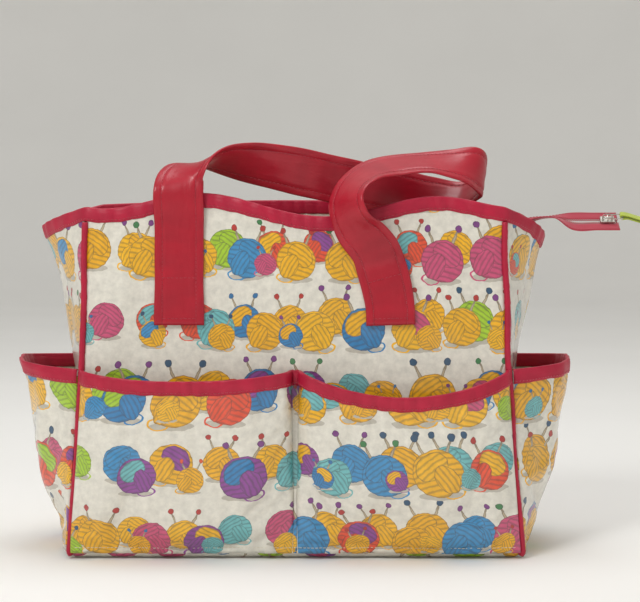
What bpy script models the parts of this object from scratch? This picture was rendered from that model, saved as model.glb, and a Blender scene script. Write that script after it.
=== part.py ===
"""Knitting bag: an open, zip-topped tote of coated cotton with six outside pockets.

The bag stands on the XY plane with the middle of its base at the origin, its front
facing -Y and its zip tail pointing to +X. All sizes are in metres.
"""

import math

import bmesh
import bpy
import numpy as np
from mathutils import Vector

# ---- driving dimensions -------------------------------------------------------------
RIM_HEIGHT = 0.313            # top of the bag at its four corners
BASE_HALF_WIDTH = 0.203       # corner piping to the middle, at the base
TOP_HALF_WIDTH = 0.187        # the same at the rim
BASE_HALF_DEPTH = 0.080
TOP_HALF_DEPTH = 0.062
TIP_OUT = 0.052               # how far the middle of each gusset stands out at the rim
LEFT_TIP_DROP = 0.0185        # how far the rim falls from the corners to a gusset's middle
RIGHT_TIP_DROP = 0.026

POCKET_HEIGHT = 0.168
POCKET_SWELL = 0.030          # how far the front and back pockets belly out at their rim
SIDE_POCKET_OUT = 0.057       # how far a gusset pocket stands out past the corners
PLEAT_HALF_WIDTH = 0.0055     # flat bottom of the pleat that divides a pocket strip

FABRIC = 0.0016               # coated cotton with its turnings
LINING = 0.0010
TAPE = 0.0010                 # binding, zip tape
GAP = 0.0004                  # clearance between pieces that lie on each other
PIPING_RADIUS = 0.0028
BINDING_WIDTH = 0.012

STRAP_WIDTH = 0.044
STRAP_THICKNESS = 0.0028
STRAP_END_HEIGHT = 0.209      # lower end of each sewn-down strap end

FLOOR_CLEAR = FABRIC + GAP    # walls start above the base panel
CORNER_CLEAR = PIPING_RADIUS + 0.0008
LINING_GAP = 0.0010
STACK = FABRIC + LINING_GAP + LINING  # wall thickness that the rim binding wraps
POCKET_STANDOFF = 0.0022      # wall to pocket, room for the inner leg of the binding

TAIL_TILT = math.radians(30)  # the zip tail leans so that its front edge is lower
TAIL_AXIS_Z = 0.2990
TAIL_START_X = 0.256
TAIL_END_X = 0.298
COIL_HALF_GAP = 0.0016        # the open zip's two coils lie this far from its middle
COIL_WIDTH = 0.0020
ZIP_TAPE_WIDTH = 0.0115
SLIDER_X = 0.2880
SLIDER_LENGTH = 0.013

# Handle stations: a point on the strap's middle line and the way its face side looks.
# The front loop has fallen back over the rim and to the right, and lies doubled there.
LEFT_STRAP_X = -0.103
RIGHT_STRAP_X = 0.085
FRONT_LOOP = [
    ((-0.1035, -0.0690, 0.3280), (0, -1, 0.10)),
    ((-0.1000, -0.0600, 0.3430), (-0.25, -0.75, 0.60)),
    ((-0.0840, -0.0490, 0.3530), (-0.45, -0.10, 0.88)),
    ((-0.0640, -0.0410, 0.3555), (-0.30, 0.50, 0.80)),
    ((-0.0410, -0.0340, 0.3530), (-0.10, 0.80, 0.58)),
    ((-0.0120, -0.0300, 0.3480), (0, 0.94, 0.34)),
    ((0.0250, -0.0240, 0.3400), (0, 0.99, 0.10)),
    ((0.0600, -0.0150, 0.3320), (0, 1, -0.05)),
    ((0.0950, -0.0080, 0.3255), (0, 0.96, -0.25)),
    ((0.1250, -0.0040, 0.3215), (0, 0.86, -0.50)),
    ((0.1500, -0.0050, 0.3215), (0.20, 0.62, -0.75)),
    ((0.1660, -0.0110, 0.3300), (0.75, 0.28, -0.60)),
    ((0.1715, -0.0210, 0.3395), (0.98, -0.05, -0.15)),
    ((0.1640, -0.0330, 0.3470), (0.62, -0.68, 0.30)),
    ((0.1460, -0.0400, 0.3510), (0.12, -0.62, 0.75)),
    ((0.1200, -0.0430, 0.3530), (0, -0.42, 0.91)),
    ((0.0930, -0.0480, 0.3510), (-0.08, -0.42, 0.90)),
    ((0.0700, -0.0580, 0.3460), (-0.35, -0.50, 0.79)),
    ((0.0530, -0.0730, 0.3350), (-0.62, -0.60, 0.50)),
    ((0.0450, -0.0860, 0.3200), (-0.72, -0.68, 0.12)),
    ((0.0475, -0.0905, 0.3060), (-0.68, -0.73, -0.05)),
    ((0.0545, -0.0880, 0.2940), (-0.50, -0.85, -0.10)),
    ((0.0640, -0.0835, 0.2840), (-0.30, -0.94, -0.10)),
    ((0.0715, -0.0785, 0.2740), (-0.12, -0.98, -0.10)),
]
FRONT_HINGE = (-0.0775, 0.2530)  # y and z of the line that the front loop swings about
LEFT_SPLIT = 0.2560           # heights where the sewn-down ends stop and the loop begins
RIGHT_SPLIT = 0.2615
SPLIT_HALF_GAP = 0.0015

BACK_STRAP_X = 0.094
BACK_FOLD_HEIGHT = 0.3000     # the back loop folds outwards here and hangs down
BACK_HINGE = (0.0760, 0.3020)


# ---- the bag's shape ----------------------------------------------------------------
def corner_x(z):
    """Half width between the corner pipings at height z."""
    return TOP_HALF_WIDTH + (BASE_HALF_WIDTH - TOP_HALF_WIDTH) * (1 - z / RIM_HEIGHT) ** 2


def half_depth(z):
    """Half depth between the front and back walls at height z."""
    return BASE_HALF_DEPTH - (BASE_HALF_DEPTH - TOP_HALF_DEPTH) * (z / RIM_HEIGHT) ** 2


def rim_wave(x):
    """The front rim's slow wave: up beside each strap and down between them."""
    window = 1 - min(1.0, abs(x) / TOP_HALF_WIDTH) ** 4
    return window * math.cos(2 * math.pi * (x + 0.090) / 0.230)


def rim_height(side, s):
    """Height of the fabric's top edge, s running from -1 to 1 along one side."""
    if side == "front":
        return RIM_HEIGHT + 0.0025 * (1 - s * s) + 0.0108 * rim_wave(s * TOP_HALF_WIDTH)
    if side == "back":
        return RIM_HEIGHT + 0.004 * (1 - s * s)
    return RIM_HEIGHT - (LEFT_TIP_DROP if side == "left" else RIGHT_TIP_DROP) * (1 - abs(s))


def wall_point(side, s, z):
    """Point on the outer face of a wall. s runs anticlockwise seen from above."""
    height = z / RIM_HEIGHT
    if side in ("front", "back"):
        x = s * corner_x(z)
        lean = 0.005 * (1 - s * s) * height**2
        if side == "front":
            lean -= 0.002 * rim_wave(x) * height**3
            return np.array((x, -half_depth(z) - lean, z))
        return np.array((-x, half_depth(z) + lean, z))
    x = corner_x(z) + TIP_OUT * height**2 * (1 - abs(s) ** 1.3)
    y = s * half_depth(z)
    return np.array((x, y, z) if side == "right" else (-x, -y, z))


def strip_share(s):
    """How far s lies from the pleat (0) to the corner (1)."""
    pleat = PLEAT_HALF_WIDTH / TOP_HALF_WIDTH
    return max(abs(s) - pleat, 0.0) / (1 - pleat)


def pocket_rim(side, s):
    """Height of a pocket's top edge."""
    if side in ("left", "right"):
        return POCKET_HEIGHT + 0.007 * (1 - abs(s))
    middle = 1 - (2 * strip_share(s) - 1) ** 2
    sag = {"front": 0.021 if s > 0 else 0.007, "back": 0.010}[side]
    return POCKET_HEIGHT - sag * middle


def pocket_swell(s):
    """0 in the pleat and at the corners, 1 across the middle of each half of a strip."""
    return max(1 - abs(2 * strip_share(s) - 1) ** 3.2, 0.0) ** 0.62


def pocket_point(side, s, z):
    """Point on the inner face of a pocket."""
    share = z / POCKET_HEIGHT
    point = wall_point(side, s, z)
    if side in ("left", "right"):
        out = 1 if side == "right" else -1
        bulge = SIDE_POCKET_OUT * share**0.8 * (1 - abs(s) ** 2.4)
        proud = max(bulge - (abs(point[0]) - corner_x(z)), 0.0)
        return point + np.array((out * (POCKET_STANDOFF + proud), 0, 0))
    out = -1 if side == "front" else 1
    swell = POCKET_SWELL * pocket_swell(s) * share**0.9
    return point + np.array((0, out * (POCKET_STANDOFF + swell), 0))


SIDES = ("front", "right", "back", "left")
HALF_LENGTH = {"front": TOP_HALF_WIDTH, "back": TOP_HALF_WIDTH,
               "left": TOP_HALF_DEPTH, "right": TOP_HALF_DEPTH}


def span(side, clear=CORNER_CLEAR):
    """Values of s across one side: shared columns, and ends that stop at the corners."""
    reach, count = {"front": (0.93, 19), "back": (0.93, 13)}.get(side, (0.80, 11))
    inner = np.linspace(-reach, reach, count)
    end = 1 - clear / HALF_LENGTH[side]
    return np.concatenate(((-end,), inner, (end,)))


def pocket_span(side):
    """s values for a pocket, with extra columns where a strip turns into its pleat."""
    if side in ("left", "right"):
        return span(side)
    pleat = PLEAT_HALF_WIDTH / TOP_HALF_WIDTH
    end = 1 - CORNER_CLEAR / TOP_HALF_WIDTH
    shares = np.array((0, 0.02, 0.06, 0.14, 0.28, 0.5, 0.7, 0.86, 0.96, 1))
    half = pleat + (end - pleat) * shares
    return np.concatenate((-half[::-1], half))


# ---- modelling helpers --------------------------------------------------------------
def make_material(name, colour, roughness, metallic=0.0):
    material = bpy.data.materials.new(name)
    material.use_nodes = True
    shader = material.node_tree.nodes["Principled BSDF"]
    shader.inputs["Base Color"].default_value = (*colour, 1)
    shader.inputs["Roughness"].default_value = roughness
    shader.inputs["Metallic"].default_value = metallic
    return material


def add_object(name, mesh, material):
    mesh.materials.append(material)
    mesh.shade_smooth()
    mesh.set_sharp_from_angle(angle=math.radians(40))
    obj = bpy.data.objects.new(name, mesh)
    bpy.context.scene.collection.objects.link(obj)
    return obj


def place(obj, origin):
    """Moves an object's origin to a joint's axis and leaves its shape where it is."""
    for vertex in obj.data.vertices:
        vertex.co = vertex.co - Vector(origin)
    obj.location = origin


def sheet(name, grid, thickness, material, offset=-1.0, closed=False):
    """A sheet of cloth from rows of points, thickened by a Solidify modifier.

    Neighbouring points in a row, crossed with neighbouring rows, give the face side;
    offset -1 grows the cloth behind it and 1 in front of it.
    """
    rows, columns = len(grid), len(grid[0])
    bm = bmesh.new()
    verts = [[bm.verts.new(tuple(point)) for point in row] for row in grid]
    for i in range(rows - 1):
        for j in range(columns if closed else columns - 1):
            k = (j + 1) % columns
            # The same diagonal everywhere, so that layers nest without touching.
            bm.faces.new((verts[i][j], verts[i][k], verts[i + 1][k]))
            bm.faces.new((verts[i][j], verts[i + 1][k], verts[i + 1][j]))
    mesh = bpy.data.meshes.new(name)
    bm.to_mesh(mesh)
    bm.free()
    obj = add_object(name, mesh, material)
    solidify = obj.modifiers.new("cloth thickness", "SOLIDIFY")
    solidify.thickness = thickness
    solidify.offset = offset
    solidify.use_even_offset = True
    return obj


def block(name, low, high, material, bevel=0.0):
    """A box between two corners, with rounded edges if bevel is given."""
    bm = bmesh.new()
    bmesh.ops.create_cube(bm, size=1)
    low, high = np.array(low), np.array(high)
    for vertex in bm.verts:
        vertex.co = (low + high) / 2 + np.array(vertex.co) * (high - low)
    mesh = bpy.data.meshes.new(name)
    bm.to_mesh(mesh)
    bm.free()
    obj = add_object(name, mesh, material)
    if bevel:
        rounding = obj.modifiers.new("rounded edges", "BEVEL")
        rounding.width = bevel
        rounding.segments = 2
    return obj


def tube(name, points, radius, material, sides=6, closed=False):
    """A round cord or wire along points, with flat ends unless it closes on itself."""
    points = [np.array(point, float) for point in points]
    count = len(points)
    bm = bmesh.new()
    rings = []
    side = None
    for i in range(count):
        before = points[i - 1] if closed or i > 0 else points[i]
        after = points[(i + 1) % count] if closed or i < count - 1 else points[i]
        along = (after - before) / np.linalg.norm(after - before)
        if side is None:
            side = np.cross(along, (0.0, 0.0, 1.0) if abs(along[2]) < 0.9 else (0.0, 1.0, 0.0))
        side = side - along * side.dot(along)
        side /= np.linalg.norm(side)
        up = np.cross(along, side)
        turns = [2 * math.pi * k / sides for k in range(sides)]
        rings.append([bm.verts.new(tuple(points[i] + radius * (side * math.cos(a) + up * math.sin(a))))
                      for a in turns])
    for i in range(count if closed else count - 1):
        first, second = rings[i], rings[(i + 1) % count]
        for k in range(sides):
            m = (k + 1) % sides
            bm.faces.new((first[k], first[m], second[m], second[k]))
    if not closed:
        bm.faces.new(rings[0][::-1])
        bm.faces.new(rings[-1])
    bmesh.ops.recalc_face_normals(bm, faces=bm.faces)
    mesh = bpy.data.meshes.new(name)
    bm.to_mesh(mesh)
    bm.free()
    return add_object(name, mesh, material)


def offset_grid(grid, distance, closed=False):
    """A grid moved off its face side, keeping its full distance around corners."""
    grid = np.array(grid, float)
    rows, columns = grid.shape[:2]
    cells = columns if closed else columns - 1
    faces = np.zeros((rows - 1, cells, 3))
    for i in range(rows - 1):
        for j in range(cells):
            k = (j + 1) % columns
            faces[i, j] = np.cross(grid[i, k] - grid[i + 1, j], grid[i + 1, k] - grid[i, j])
    faces /= np.linalg.norm(faces, axis=2, keepdims=True)
    moved = grid.copy()
    for i in range(rows):
        for j in range(columns):
            near = [faces[a, b % cells] for a in (i - 1, i) if 0 <= a < rows - 1
                    for b in (j - 1, j) if closed or 0 <= b < cells]
            normal = np.sum(near, axis=0)
            normal /= np.linalg.norm(normal)
            moved[i, j] += normal * distance / min(normal.dot(face) for face in near)
    return moved


def catmull_rom(values, u):
    """Smooth interpolation through a list of points at a fractional index u."""
    values = np.array(values, float)
    i = min(int(u), len(values) - 2)
    f = u - i
    a, b = values[max(i - 1, 0)], values[i]
    c, d = values[i + 1], values[min(i + 2, len(values) - 1)]
    return 0.5 * (2 * b + (c - a) * f + (2 * a - 5 * b + 4 * c - d) * f**2
                  + (3 * b - a - 3 * c + d) * f**3)


def ribbon_grid(stations, u_values, width):
    """Rows of three points across a ribbon that follows its stations."""
    places = [station[0] for station in stations]
    faces = [station[1] for station in stations]
    rows = []
    for u in u_values:
        point = catmull_rom(places, u)
        tangent = catmull_rom(places, min(u + 0.02, len(places) - 1.0))
        tangent = tangent - catmull_rom(places, max(u - 0.02, 0.0))
        tangent /= np.linalg.norm(tangent)
        face = catmull_rom(faces, u)
        face -= tangent * face.dot(tangent)
        face /= np.linalg.norm(face)
        across = np.cross(tangent, face)
        rows.append([point - across * width / 2, point, point + across * width / 2])
    return rows


# ---- walls, lining and base ---------------------------------------------------------
def wall_grid(side, inward=0.0, clear=CORNER_CLEAR, rows=8, foot=FLOOR_CLEAR):
    """Rows of points from the foot to the binding's lower edge, then one at the rim."""
    across = span(side, clear)
    tops = [rim_height(side, s) - GAP for s in across]
    grid = []
    for share in np.linspace(0, 1, rows):
        grid.append([wall_point(side, s, foot + share * (top - BINDING_WIDTH - foot))
                     for s, top in zip(across, tops)])
    grid.append([wall_point(side, s, top) for s, top in zip(across, tops)])
    return offset_grid(grid, -inward) if inward else grid


def make_walls(print_cloth, lining_cloth):
    names = {"front": "front_panel", "back": "back_panel",
             "left": "gusset_left", "right": "gusset_right"}
    lining_foot = FLOOR_CLEAR + 0.0046
    for side in SIDES:
        sheet(names[side], wall_grid(side), FABRIC, print_cloth)
        sheet(f"lining_{side}",
              wall_grid(side, FABRIC + LINING_GAP, clear=0.0062, foot=lining_foot),
              LINING, lining_cloth)


def make_base(print_cloth, board, lining_cloth):
    x, y = BASE_HALF_WIDTH - 0.0005, BASE_HALF_DEPTH - 0.0005
    block("base_panel", (-x, -y, 0), (x, y, FABRIC), print_cloth)
    inset = FABRIC + 0.0022
    foot = FLOOR_CLEAR
    block("base_board", (-x + inset + 0.001, -y + inset, foot),
          (x - inset - 0.001, y - inset, foot + 0.0024), board)
    foot += 0.0024 + GAP
    block("lining_base", (-x + inset + 0.001, -y + inset, foot),
          (x - inset - 0.001, y - inset, foot + LINING), lining_cloth)


def make_piping(red_cloth):
    """Covered cord along each upright corner, from the base to the rim binding."""
    top = RIM_HEIGHT - BINDING_WIDTH - 0.0022
    for name, sx, sy in (("front_left", -1, -1), ("front_right", 1, -1),
                         ("back_left", -1, 1), ("back_right", 1, 1)):
        points = [(sx * corner_x(z), sy * half_depth(z), z)
                  for z in np.linspace(FLOOR_CLEAR, top, 12)]
        tube(f"piping_{name}", points, PIPING_RADIUS, red_cloth, sides=8)


# ---- bindings -----------------------------------------------------------------------
def binding(name, grid, behind, ahead, material, closed=False):
    """Tape folded over the top edge of a cloth stack.

    grid holds the stack's own rows up to its edge; the tape lies behind it and ahead of
    it by the distances given, and its fold stands just above the edge.
    """
    outer = offset_grid(grid, ahead + GAP + TAPE / 2, closed)
    inner = offset_grid(grid, -(behind + GAP + TAPE / 2), closed)
    for leg in (outer, inner):
        leg[-1, :, 2] += GAP + TAPE / 2
    rows = list(outer) + list(inner[::-1])
    return sheet(name, rows, TAPE, material, offset=0.0, closed=closed)


def make_rim_binding(red_cloth):
    rows = []
    for drop in (BINDING_WIDTH, 0):
        rows.append([wall_point(side, s, rim_height(side, s) - GAP - drop)
                     for side in SIDES for s in span(side)])
    binding("rim_binding", rows, STACK, 0, red_cloth, closed=True)


def make_pockets(print_cloth, red_cloth):
    for side in SIDES:
        across = pocket_span(side)
        edge = [[pocket_point(side, s, pocket_rim(side, s) - drop) for s in across]
                for drop in (BINDING_WIDTH, 0)]
        rows = []
        for share in np.linspace(0, 1, 6)[:-1] ** 0.8:
            rows.append([pocket_point(side, s, FLOOR_CLEAR + share
                                      * (pocket_rim(side, s) - BINDING_WIDTH - FLOOR_CLEAR))
                         for s in across])
        sheet(f"pocket_{side}", rows + edge, FABRIC, print_cloth, offset=1.0)
        binding(f"pocket_binding_{side}", edge, 0, FABRIC, red_cloth)


# ---- handles ------------------------------------------------------------------------
def on_wall(side, x, z):
    """Station on a strap's middle line where it lies on a wall or on the rim binding."""
    out = -1 if side == "front" else 1
    edges = [(x + shift) / corner_x(z) for shift in (-STRAP_WIDTH / 2, 0, STRAP_WIDTH / 2)]
    reach = max(out * wall_point(side, out * -s, z)[1] for s in edges)
    lap = TAPE + GAP if z > 0.286 else 0.0
    return ((x, out * (reach + 2 * GAP + lap + STRAP_THICKNESS / 2), z), (0, out, 0))


def strap_piece(name, stations, count, material, hinge=None):
    grid = ribbon_grid(stations, np.linspace(0, len(stations) - 1, count), STRAP_WIDTH)
    piece = sheet(name, grid, STRAP_THICKNESS, material, offset=0.0)
    if hinge:
        place(piece, (0, *hinge))
    return piece


def make_front_handle(strap_cloth):
    left = [on_wall("front", LEFT_STRAP_X, z) for z in
            (STRAP_END_HEIGHT, 0.232, LEFT_SPLIT - SPLIT_HALF_GAP)]
    strap_piece("handle_front_left_end", left, 5, strap_cloth)
    right = [on_wall("front", RIGHT_STRAP_X - lean, z) for lean, z in
             ((0, STRAP_END_HEIGHT), (0.0008, 0.226), (0.0040, 0.244),
              (0.0088, RIGHT_SPLIT - SPLIT_HALF_GAP))]
    strap_piece("handle_front_right_end", right, 5, strap_cloth)
    start = [on_wall("front", LEFT_STRAP_X, z) for z in (LEFT_SPLIT + SPLIT_HALF_GAP, 0.278, 0.302)]
    x, y, z = on_wall("front", RIGHT_STRAP_X - 0.0100, RIGHT_SPLIT + SPLIT_HALF_GAP)[0]
    loop = start + FRONT_LOOP + [((x, y - 0.001, z), (-0.05, -1, 0))]
    strap_piece("handle_front", loop, 60, strap_cloth, FRONT_HINGE)


def back_loop_stations():
    """The hanging loop: down over the back pockets, across in an arc and up again."""
    x, foot_z = BACK_STRAP_X, 0.150
    down = [((-x, 0.0795, BACK_FOLD_HEIGHT + 0.0015), (0, 1, 0.1)),
            ((-x, 0.0840, 0.278), (0, 1, 0.15)), ((-x, 0.0920, 0.240), (0, 1, 0.2)),
            ((-x, 0.1060, 0.195), (0, 1, 0.25))]
    arc = []
    for angle in np.linspace(0, math.pi, 9):
        drop = math.sin(angle)
        arc.append(((-x * math.cos(angle), 0.1175 + 0.003 * drop, foot_z - 0.062 * drop), (0, 1, 0.05)))
    return down + arc + [((-p[0], p[1], p[2]), n) for p, n in down[::-1]]


def make_back_handle(strap_cloth):
    for name, x in (("left", -BACK_STRAP_X), ("right", BACK_STRAP_X)):
        rise = [on_wall("back", x, z) for z in (STRAP_END_HEIGHT, 0.24, 0.27)]
        rise.append(on_wall("back", x, BACK_FOLD_HEIGHT))
        strap_piece(f"handle_back_{name}_end", rise, 6, strap_cloth)
    strap_piece("handle_back", back_loop_stations(), 40, strap_cloth, BACK_HINGE)


# ---- zip ----------------------------------------------------------------------------
def facing_grid(side):
    """A strip sewn under the rim, leaning into the mouth and carrying half of the zip."""
    rows = []
    for drop, lean in ((0.0150, 0.0052), (0.0270, 0.0085), (0.0390, 0.0120), (0.0500, 0.0155)):
        row = []
        for s in np.linspace(-0.88, 0.80, 13) if side == "front" else np.linspace(-0.80, 0.88, 13):
            point = wall_point(side, s, rim_height(side, s) - drop)
            point[1] += lean if side == "front" else -lean
            row.append(point)
        rows.append(row)
    return rows[::-1]


def tail_point(across, lift=0.0):
    """Offset from the tail's middle line, across its width and off its face."""
    return np.array((0, across * math.cos(TAIL_TILT) - lift * math.sin(TAIL_TILT),
                     across * math.sin(TAIL_TILT) + lift * math.cos(TAIL_TILT)))


def zip_stations(side):
    """Middle line of half of the zip's tape, from its left end to the tail's tip."""
    out = -1 if side == "front" else 1
    lower = facing_grid(side)[0]
    if side == "back":
        lower = lower[::-1]
    stations = []
    for point in lower[::2]:
        inward = np.array((0, -out * 0.0028, -0.0066))
        stations.append((tuple(point + inward), (0, -out * 0.92, 0.38)))
    reach = COIL_HALF_GAP + COIL_WIDTH + GAP + ZIP_TAPE_WIDTH / 2
    stations.append(((0.185, out * 0.026, 0.2800), (0.1, -out * 0.70, 0.70)))
    stations.append(((0.212, out * 0.014, 0.2985), (-0.3, -out * 0.30, 0.90)))
    stations.append(((0.236, out * reach, 0.3030), (0, -0.03, 1)))
    face = tuple(tail_point(0, 1))
    for x in (TAIL_START_X, (TAIL_START_X + TAIL_END_X) / 2, TAIL_END_X):
        middle = np.array((x, 0, TAIL_AXIS_Z)) + tail_point(out * reach)
        stations.append((tuple(middle), face))
    return stations


def coil_stations(side):
    """The nylon coil lies along the tape's free edge."""
    out = -1 if side == "front" else 1
    tape = zip_stations(side)
    end = len(tape) - 1
    stations = []
    for u in np.linspace(0, end, 2 * end + 1):
        left, _, right = ribbon_grid(tape, [u], ZIP_TAPE_WIDTH + 2 * GAP + COIL_WIDTH)[0]
        stations.append(tuple(left if out == -1 else right))
    return stations


def make_zip(print_cloth, red_cloth, coil_plastic, metal, lime_cloth):
    for side in ("front", "back"):
        sheet(f"zip_facing_{side}", facing_grid(side), LINING, print_cloth, offset=0.0)
        tape = zip_stations(side)
        grid = ribbon_grid(tape, np.linspace(0, len(tape) - 1, 34), ZIP_TAPE_WIDTH)
        sheet(f"zip_tape_{side}", grid, TAPE, red_cloth, offset=0.0)
        tube(f"zip_coil_{side}", coil_stations(side), COIL_WIDTH / 2, coil_plastic)
    make_slider(metal, lime_cloth)


def tail_prism(name, outline, x0, x1, material):
    """An outline across the tail, extruded along it."""
    bm = bmesh.new()
    first = []
    for across, lift in outline:
        middle = np.array((x0, 0, TAIL_AXIS_Z)) + tail_point(across, lift)
        first.append(bm.verts.new(tuple(middle)))
    face = bm.faces.new(first)
    made = bmesh.ops.extrude_face_region(bm, geom=[face])
    moved = [v for v in made["geom"] if isinstance(v, bmesh.types.BMVert)]
    bmesh.ops.translate(bm, verts=moved, vec=(x1 - x0, 0, 0))
    bmesh.ops.recalc_face_normals(bm, faces=bm.faces)
    mesh = bpy.data.meshes.new(name)
    bm.to_mesh(mesh)
    bm.free()
    return add_object(name, mesh, material)


def mirrored_outline(half):
    """Closes an outline that is the same on both sides of the tail's middle."""
    return half + [(-across, lift) for across, lift in half[::-1]]


def make_slider(metal, lime_cloth):
    plate, inner, web = 0.0050, 0.0017, 0.0009
    outer = inner + 0.0010
    # Two plates joined by the wedge that parts the coils.
    half = [(web, -inner), (plate, -inner), (plate, -outer), (0.0, -outer)]
    body = half[::-1] + [(web, inner), (plate, inner), (plate, outer), (0.0, outer)]
    body = body + [(-a, b) for a, b in body[::-1] if a > 0]
    half_length = SLIDER_LENGTH / 2
    tail_prism("slider_body", body, SLIDER_X - half_length, SLIDER_X + half_length, metal)
    # The bridge is an arch over the body that holds the puller.
    foot = outer + 0.0003
    leg, top = 0.0007, outer + 0.0048
    span_half = 0.0042
    stations = [(SLIDER_X - span_half, foot), (SLIDER_X - span_half, top - 0.0012),
                (SLIDER_X - span_half + 0.0014, top), (SLIDER_X + span_half - 0.0014, top),
                (SLIDER_X + span_half, top - 0.0012), (SLIDER_X + span_half, foot)]
    points = [np.array((x, 0, TAIL_AXIS_Z)) + tail_point(0, lift) for x, lift in stations]
    tube("slider_bridge", points, leg, metal)
    make_stop(metal)
    make_puller(outer, metal, lime_cloth)


def make_stop(metal):
    """The staple that closes the open end of the zip."""
    outline = mirrored_outline([(COIL_HALF_GAP + COIL_WIDTH, -0.0012), (COIL_HALF_GAP + COIL_WIDTH, -0.0020)])
    tail_prism("zip_stop", outline, TAIL_END_X - 0.0022, TAIL_END_X - 0.0006, metal)


def make_puller(outer, metal, lime_cloth):
    """A wire link through the bridge, and the ribbon looped through the link."""
    pivot = np.array((SLIDER_X, 0, TAIL_AXIS_Z)) + tail_point(0, outer + 0.0024)
    corners = [(0, -0.0030), (0, 0.0030), (0.0085, 0.0040), (0.0135, 0.0040),
               (0.0135, -0.0040), (0.0085, -0.0040)]
    link = tube("puller_link", [tail_offset(pivot, along, across) for along, across in corners],
                0.0006, metal, closed=True)
    place(link, tuple(pivot))
    rows = []
    for along, drop in ((0.0152, 0.0), (0.0260, 0.0018), (0.0370, 0.0050), (0.0450, 0.0085)):
        rows.append([tail_offset(pivot, along, across) - np.array((0, 0, drop))
                     for across in (0.0032, -0.0032)])
    place(sheet("puller_ribbon", rows, 0.0012, lime_cloth, offset=0.0), tuple(pivot))


def tail_offset(pivot, along, across):
    return pivot + np.array((along, 0, 0)) + tail_point(across)


def main():
    for obj in list(bpy.data.objects):
        bpy.data.objects.remove(obj)
    print_cloth = make_material("printed coated cotton", (0.86, 0.83, 0.74), 0.35)
    lining_cloth = make_material("lining cotton", (0.80, 0.77, 0.70), 0.9)
    red_cloth = make_material("red coated cotton", (0.50, 0.02, 0.06), 0.4)
    strap_cloth = make_material("red leathercloth", (0.45, 0.015, 0.04), 0.38)
    board = make_material("stiffener board", (0.20, 0.19, 0.18), 0.8)
    coil_plastic = make_material("zip coil", (0.42, 0.02, 0.05), 0.45)
    metal = make_material("nickel plate", (0.75, 0.75, 0.73), 0.25, 1.0)
    lime_cloth = make_material("lime ribbon", (0.55, 0.62, 0.08), 0.7)
    make_base(print_cloth, board, lining_cloth)
    make_walls(print_cloth, lining_cloth)
    make_piping(red_cloth)
    make_rim_binding(red_cloth)
    make_pockets(print_cloth, red_cloth)
    make_front_handle(strap_cloth)
    make_back_handle(strap_cloth)
    make_zip(print_cloth, red_cloth, coil_plastic, metal, lime_cloth)


main()
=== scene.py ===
"""Knitting bag: an open tote of coated cotton with outside pockets, bound rims and two handles.

Run as a script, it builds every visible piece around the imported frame. All sizes are in
metres, in the frame's axes: the front faces -Y and the zip tail points to +X.
"""

import math

import bpy
import numpy as np
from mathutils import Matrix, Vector


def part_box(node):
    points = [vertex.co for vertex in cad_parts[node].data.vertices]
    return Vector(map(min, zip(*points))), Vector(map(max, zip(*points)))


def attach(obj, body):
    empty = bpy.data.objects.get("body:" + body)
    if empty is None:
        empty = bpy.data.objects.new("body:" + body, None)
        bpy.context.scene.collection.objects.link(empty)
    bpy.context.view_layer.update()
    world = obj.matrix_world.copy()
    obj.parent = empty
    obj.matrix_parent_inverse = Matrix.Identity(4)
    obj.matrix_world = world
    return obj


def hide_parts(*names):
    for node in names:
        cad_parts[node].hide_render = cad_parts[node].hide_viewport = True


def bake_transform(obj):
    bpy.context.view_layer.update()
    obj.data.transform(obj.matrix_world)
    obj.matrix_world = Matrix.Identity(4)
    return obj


bl_info = {
    "name": "Knitting Bag",
    "version": (1, 0, 0),
    "blender": (4, 5, 0),
    "location": "View3D > Sidebar > Knitting Bag",
    "description": "Builds a knitting bag of printed, coated cotton piece by piece",
    "category": "Add Mesh",
}

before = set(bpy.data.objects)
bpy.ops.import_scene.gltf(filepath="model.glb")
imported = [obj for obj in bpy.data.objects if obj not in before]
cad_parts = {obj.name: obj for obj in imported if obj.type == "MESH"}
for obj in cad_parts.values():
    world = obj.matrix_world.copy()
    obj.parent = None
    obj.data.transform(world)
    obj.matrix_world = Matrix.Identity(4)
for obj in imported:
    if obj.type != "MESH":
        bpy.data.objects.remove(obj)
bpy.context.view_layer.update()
SIDES = ("front", "right", "back", "left")

# ---- sizes that the frame settles ---------------------------------------------------
BASE_HALF_WIDTH, BASE_HALF_DEPTH = (side + 0.0005 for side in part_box("base_panel")[1][:2])
STRAP_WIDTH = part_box("handle_back_left_end")[1].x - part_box("handle_back_left_end")[0].x
BACK_STRAP_X = (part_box("handle_back_right_end")[0].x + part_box("handle_back_right_end")[1].x) / 2
LEFT_STRAP_X = (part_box("handle_front_left_end")[0].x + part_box("handle_front_left_end")[1].x) / 2
STRAP_END_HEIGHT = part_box("handle_back_left_end")[0].z
BACK_FOLD_HEIGHT = 0.3000     # where the back handle folds outwards over its seam
RIGHT_STRAP_X = 0.085         # foot of the front handle's right end, which then leans left

# ---- sizes shared with the CAD part -------------------------------------------------
RIM_HEIGHT = 0.313            # top of the bag at its four corners
TOP_HALF_WIDTH = 0.187
TOP_HALF_DEPTH = 0.062
TIP_OUT = 0.052               # how far the middle of each gusset stands out at the rim
LEFT_TIP_DROP, RIGHT_TIP_DROP = 0.0185, 0.026
POCKET_HEIGHT = 0.168
POCKET_SWELL = 0.030
SIDE_POCKET_OUT = 0.057
PLEAT_HALF_WIDTH = 0.0055
PLEAT_FOOT_SHARE = 0.50       # how much of that width the pleat keeps at its foot
FABRIC = 0.0016
LINING = 0.0010
LINING_GAP = 0.0010
GAP = 0.0004
POCKET_STANDOFF = 0.0022
FOOT_RADIUS = 0.008           # the base fabric turns up round the board's edge
SEAM_HEIGHT = 0.0075          # where it meets the walls
CORNER_CLEAR = 0.0018         # fabric is caught in the piping this far from a corner's middle

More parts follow.
